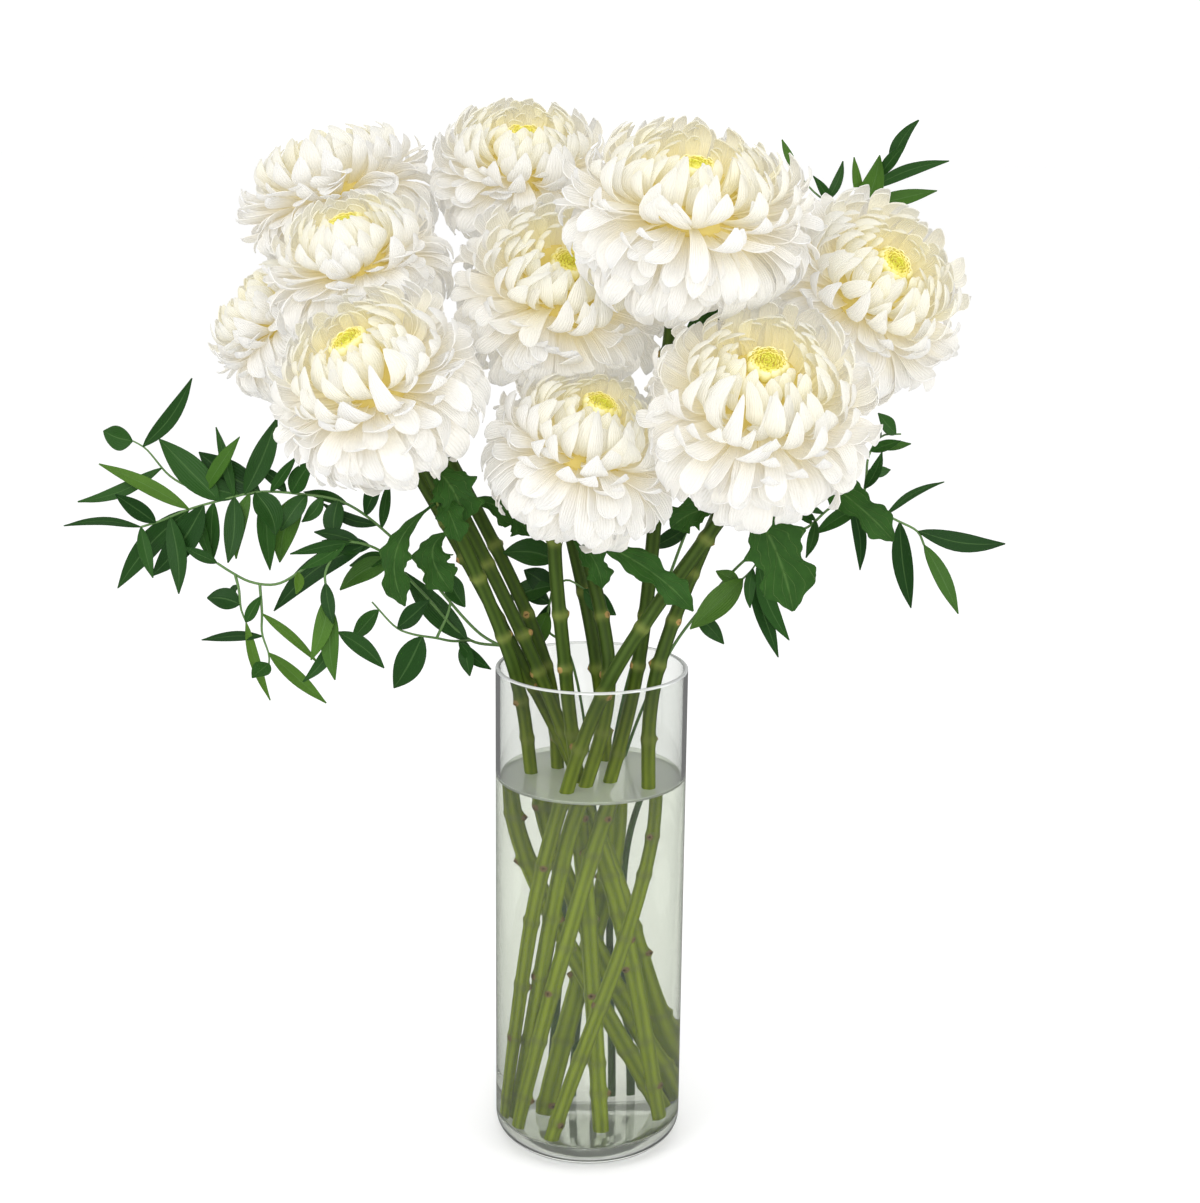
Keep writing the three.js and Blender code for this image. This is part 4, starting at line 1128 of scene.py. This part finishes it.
SPRAYS = [
    {
        "name": "ruscus_upper_left",
        "in_vase": [(-12, 42, 13), (-12, 44, 195), (-45, 13, 300)],
        "routes": [
            [
                (478, 632, 12), (400, 545, 5), (345, 503, 0), (300, 494, 0), (258, 492, 0),
                (222, 500, -5), (190, 509, -5), (160, 521, -5), (141, 527, -5),
            ],
            [(222, 500, -5), (194, 489, 0), (170, 476, 5), (145, 448, 5), (133, 441, 5)],
        ],
        "leaves": [
            (145, 446, 192, 378, 4.2), (133, 440, 104, 431, 6.5), (159, 469, 78, 502, 4),
            (184, 499, 99, 464, 4.2), (155, 522, 115, 494, 4.6), (141, 526, 64, 526, 2.4),
            (188, 509, 118, 588, 6.5), (207, 508, 152, 576, 7.5), (172, 518, 179, 594, 5.2),
            (143, 527, 153, 578, 3.6), (200, 507, 214, 563, 3.6), (219, 500, 159, 439, 7.6),
            (205, 493, 240, 437, 4.2), (232, 498, 216, 427, 3), (262, 492, 199, 452, 8),
            (240, 495, 188, 476, 6), (246, 494, 277, 418, 6), (212, 504, 212, 563, 4.8),
            (234, 498, 228, 563, 5.4), (251, 493, 236, 559, 4), (256, 492, 276, 535, 7),
            (264, 492, 270, 570, 5), (301, 495, 280, 562, 7), (307, 494, 281, 531, 5),
            (290, 494, 312, 462, 5.6), (270, 492, 296, 457, 3), (286, 493, 254, 467, 3.4),
            (340, 501, 334, 540, 6), (322, 500, 302, 522, 3.6), (348, 505, 304, 492, 3),
            (376, 528, 322, 503, 3.2), (366, 516, 386, 474, 5), (380, 528, 389, 480, 2.8),
        ],
    },
    {
        "name": "ruscus_lower_left",
        "in_vase": [(-5, 42, 13), (-5, 44, 195), (-43, 26, 300)],
        "routes": [
            [
                (470, 640, 22), (420, 590, 10), (375, 548, -12), (340, 543, -20), (305, 568, -25),
                (277, 584, -25), (251, 582, -25), (231, 572, -25), (217, 563, -25),
            ],
            [(237, 576, -25), (239, 590, -30), (241, 609, -30), (246, 622, -30)],
            [(260, 585, -25), (262, 613, -30), (262, 633, -30), (269, 655, -30), (269, 664, -30)],
            [(340, 543, -20), (325, 575, -30), (332, 605, -34), (338, 632, -34)],
            [
                (470, 640, 22), (452, 641, 6), (436, 638, -6), (412, 634, -12), (397, 628, -14),
                (372, 602, -16),
            ],
            [(436, 638, -6), (450, 605, -10), (446, 565, -8), (437, 535, -5)],
        ],
        "leaves": [
            (238, 585, 230, 603, 2.8), (240, 606, 207, 598, 6), (246, 621, 261, 596, 3.2),
            (245, 622, 270, 700, 2.8), (262, 634, 202, 640, 2.8), (262, 613, 318, 663, 2.6),
            (269, 664, 252, 678, 4.8), (269, 655, 326, 703, 3.8), (365, 548, 274, 611, 6.4),
            (328, 596, 311, 660, 4.8), (333, 612, 335, 680, 4.8), (326, 585, 333, 624, 3.6),
            (337, 630, 303, 682, 3.6), (338, 631, 384, 668, 4.8), (345, 545, 301, 569, 3.4),
            (352, 545, 290, 554, 3), (300, 571, 296, 594, 2.6), (392, 562, 340, 590, 6),
            (420, 636, 394, 688, 8), (397, 628, 430, 600, 5.6), (468, 643, 405, 572, 7),
            (449, 570, 465, 607, 5.6), (466, 646, 470, 676, 4.4), (460, 644, 491, 669, 3.6),
            (380, 610, 352, 640, 4.6), (372, 546, 322, 541, 5), (360, 545, 314, 532, 3.8),
            (217, 563, 184, 547, 3), (385, 560, 350, 566, 4.6),
        ],
    },
    {
        "name": "ruscus_middle",
        "in_vase": [(2, 42, 13), (2, 44, 195), (-16, 42, 300)],
        "routes": [
            [(548, 630, 38), (552, 590, 32), (556, 560, 26)],
            [(552, 590, 32), (568, 580, 18), (584, 589, 12)],
        ],
        "leaves": [
            (556, 562, 503, 553, 7.5), (553, 587, 508, 600, 6.5), (550, 612, 528, 655, 6),
            (584, 589, 616, 615, 5.6), (551, 606, 514, 584, 5), (550, 604, 532, 650, 4),
            (552, 590, 524, 570, 6.5),
        ],
    },
    {
        "name": "ruscus_right",
        "in_vase": [(14, 42, 13), (14, 44, 195), (45, 19, 300)],
        "routes": [
            [
                (700, 610, 26), (745, 560, 22), (785, 535, 8), (808, 527, 4), (834, 506, 2),
                (862, 505, 0), (898, 521, 0), (918, 532, 0), (924, 545, 0),
            ],
            [(862, 505, 0), (866, 480, 6), (869, 455, 12), (882, 436, 16), (901, 434, 18)],
            [(700, 610, 26), (725, 592, 12), (748, 574, 4), (760, 558, -4)],
        ],
        "leaves": [
            (745, 577, 690, 629, 7), (752, 569, 750, 608, 3.4), (750, 573, 778, 657, 4.8),
            (757, 562, 789, 640, 4.8), (738, 583, 716, 571, 4), (700, 618, 724, 644, 4.6),
            (918, 532, 1005, 544, 5.4), (924, 545, 958, 614, 4.6), (899, 522, 911, 608, 5.4),
            (852, 506, 860, 570, 3.6), (861, 506, 815, 534, 4.2), (888, 516, 944, 482, 2.2),
            (866, 487, 882, 452, 3.2), (867, 470, 890, 470, 3.2), (870, 452, 901, 441, 3),
            (895, 434, 878, 413, 4.4), (880, 437, 868, 426, 3.6), (815, 522, 806, 558, 3),
            (810, 525, 795, 492, 3.2), (872, 448, 911, 444, 3), (822, 515, 786, 493, 2.4),
            (816, 520, 787, 503, 2.4),
        ],
    },
    {
        "name": "ruscus_upper_right",
        "in_vase": [(8, 42, 13), (9, 45, 195), (27, 33, 300)],
        "routes": [
            [
                (660, 600, 62), (700, 500, 76), (760, 400, 86), (815, 300, 88), (850, 225, 84),
                (872, 185, 80), (890, 166, 78),
            ],
            [(828, 270, 88), (836, 215, 84), (812, 190, 82), (796, 172, 82)],
        ],
        "leaves": [
            (797, 172, 782, 140, 2.6), (826, 204, 843, 161, 2.8), (834, 208, 813, 176, 2.8),
            (890, 166, 919, 120, 4.2), (868, 190, 949, 161, 3.6), (856, 212, 937, 191, 4.8),
            (862, 200, 854, 157, 2.8), (850, 226, 880, 155, 6.6), (880, 178, 906, 144, 3.4),
            (690, 530, 651, 548, 5),
        ],
    },
]


def draws_from(seed):
    """A repeatable run of draws between 0 and 1, the same as the solids' leaves are leaned by."""
    state = seed
    while True:
        state = (state + 0x6D2B79F5) & 0xFFFFFFFF
        mixed = ((state ^ (state >> 15)) * (1 | state)) & 0xFFFFFFFF
        mixed = (mixed + ((mixed ^ (mixed >> 7)) * (61 | mixed))) & 0xFFFFFFFF ^ mixed
        yield ((mixed ^ (mixed >> 14)) & 0xFFFFFFFF) / 2**32


def ruscus_place(spine, face, half_width, tone):
    """Puts the points of a pointed leaf that is folded a little along its rib."""
    side, front = leaf_frames(spine, face)

    def place(u, v):
        row = v * (len(spine) - 1)
        reach = u * np.maximum(half_width * np.sin(math.pi * v**0.85) ** 0.85, 0.6 * LEAF_THICKNESS)
        rise = LEAF_FOLD * np.abs(reach) + LEAF_WAVE * half_width * np.sin(9 * v + 6 * tone) * u
        lifted = rise[:, None] * between(front, row)
        return between(spine, row) + reach[:, None] * between(side, row) + lifted, {"tone": tone}

    return place


leather = Finish("ruscus_leaf")
across = leather.across()
rib = leather.fade(leather.math("ABSOLUTE", across - 0.5), 0.0, 0.05, 1.0, 0.0)
green = leather.ramp(leather.attribute("tone"), RUSCUS_STOPS)
green = leather.blend(leather.noise(60, 3) * 0.35, green, RUSCUS_DARK)
green = leather.blend(rib * 0.4, green, RUSCUS_RIB)
lined = leather.bump(leather.math("SINE", across * LEAF_LINES) * 0.3 - rib, 0.4, 0.0004)
ruscus_leaf = leather.wear(
    leather.surface(green, 0.4, {"Specular IOR Level": 0.15, "Normal": lined})
)
wire = Finish("ruscus_twig")
ruscus_twig = wire.wear(wire.surface(wire.blend(wire.noise(80, 3), TWIG_DARK, TWIG_LIGHT), 0.5))

for index, spray in enumerate(SPRAYS):
    draw = draws_from(500 + index)
    twigs = blank()
    lines = []
    for route in spray["routes"]:
        outside = [seen((column, row), depth * MILLIMETRE) for column, row, depth in route]
        inside = [Vector(point) * MILLIMETRE for point in spray["in_vase"]]
        if lines:
            points = [nearest_on(np.concatenate(lines), route[0][:2]), *outside[1:]]
        else:
            points = [*inside, *outside]
        rows = max(int(centripetal(points, 2)[1] / TWIG_ROW), FEWEST_ROWS)
        line = centripetal(points, rows)[0]
        thick = SIDE_TWIG_RADIUS if lines else TWIG_RADIUS
        lines.append(line)
        tube(twigs, line, TWIG_SIDES, lambda turn, share: (thick * (1 - TWIG_TAPER * share), {}))
    dress(put(f"{spray['name']}_twigs", twigs, [ruscus_twig]), spray["name"])
    leaves = blank("tone")
    twig_points = np.concatenate(lines)
    for *pixels, half_width in spray["leaves"]:
        foot_pixel, tip_pixel = pixels[:2], pixels[2:]
        foot = nearest_on(twig_points, foot_pixel)
        lean = LEAF_DEPTH_SPREAD * (2 * next(draw) - 1)
        face = Vector((FACE_SPREAD * (next(draw) - 0.5), -1, FACE_SPREAD * next(draw)))
        bow = BOW_SPREAD * (next(draw) - 0.5)
        tip = seen(tip_pixel, foot.y + lean)
        along = tip - foot
        sideways = along.cross(face) * bow
        middle = foot + along * 0.42 + sideways
        shoulder = foot + along * 0.72 + sideways * 0.8
        spine = centripetal([foot, middle, shoulder, tip], LEAF_ROWS + 1)[0]
        tone = (31 * foot_pixel[0] + 17 * tip_pixel[1]) % 100 / 100
        half_width *= FULLNESS * MILLIMETRE
        sheet(leaves, LEAF_COLUMNS, LEAF_ROWS, ruscus_place(spine, face, half_width, tone))
    foliage = put(f"{spray['name']}_leaves", thicken(leaves, LEAF_THICKNESS), [ruscus_leaf])
    dress(foliage, spray["name"])
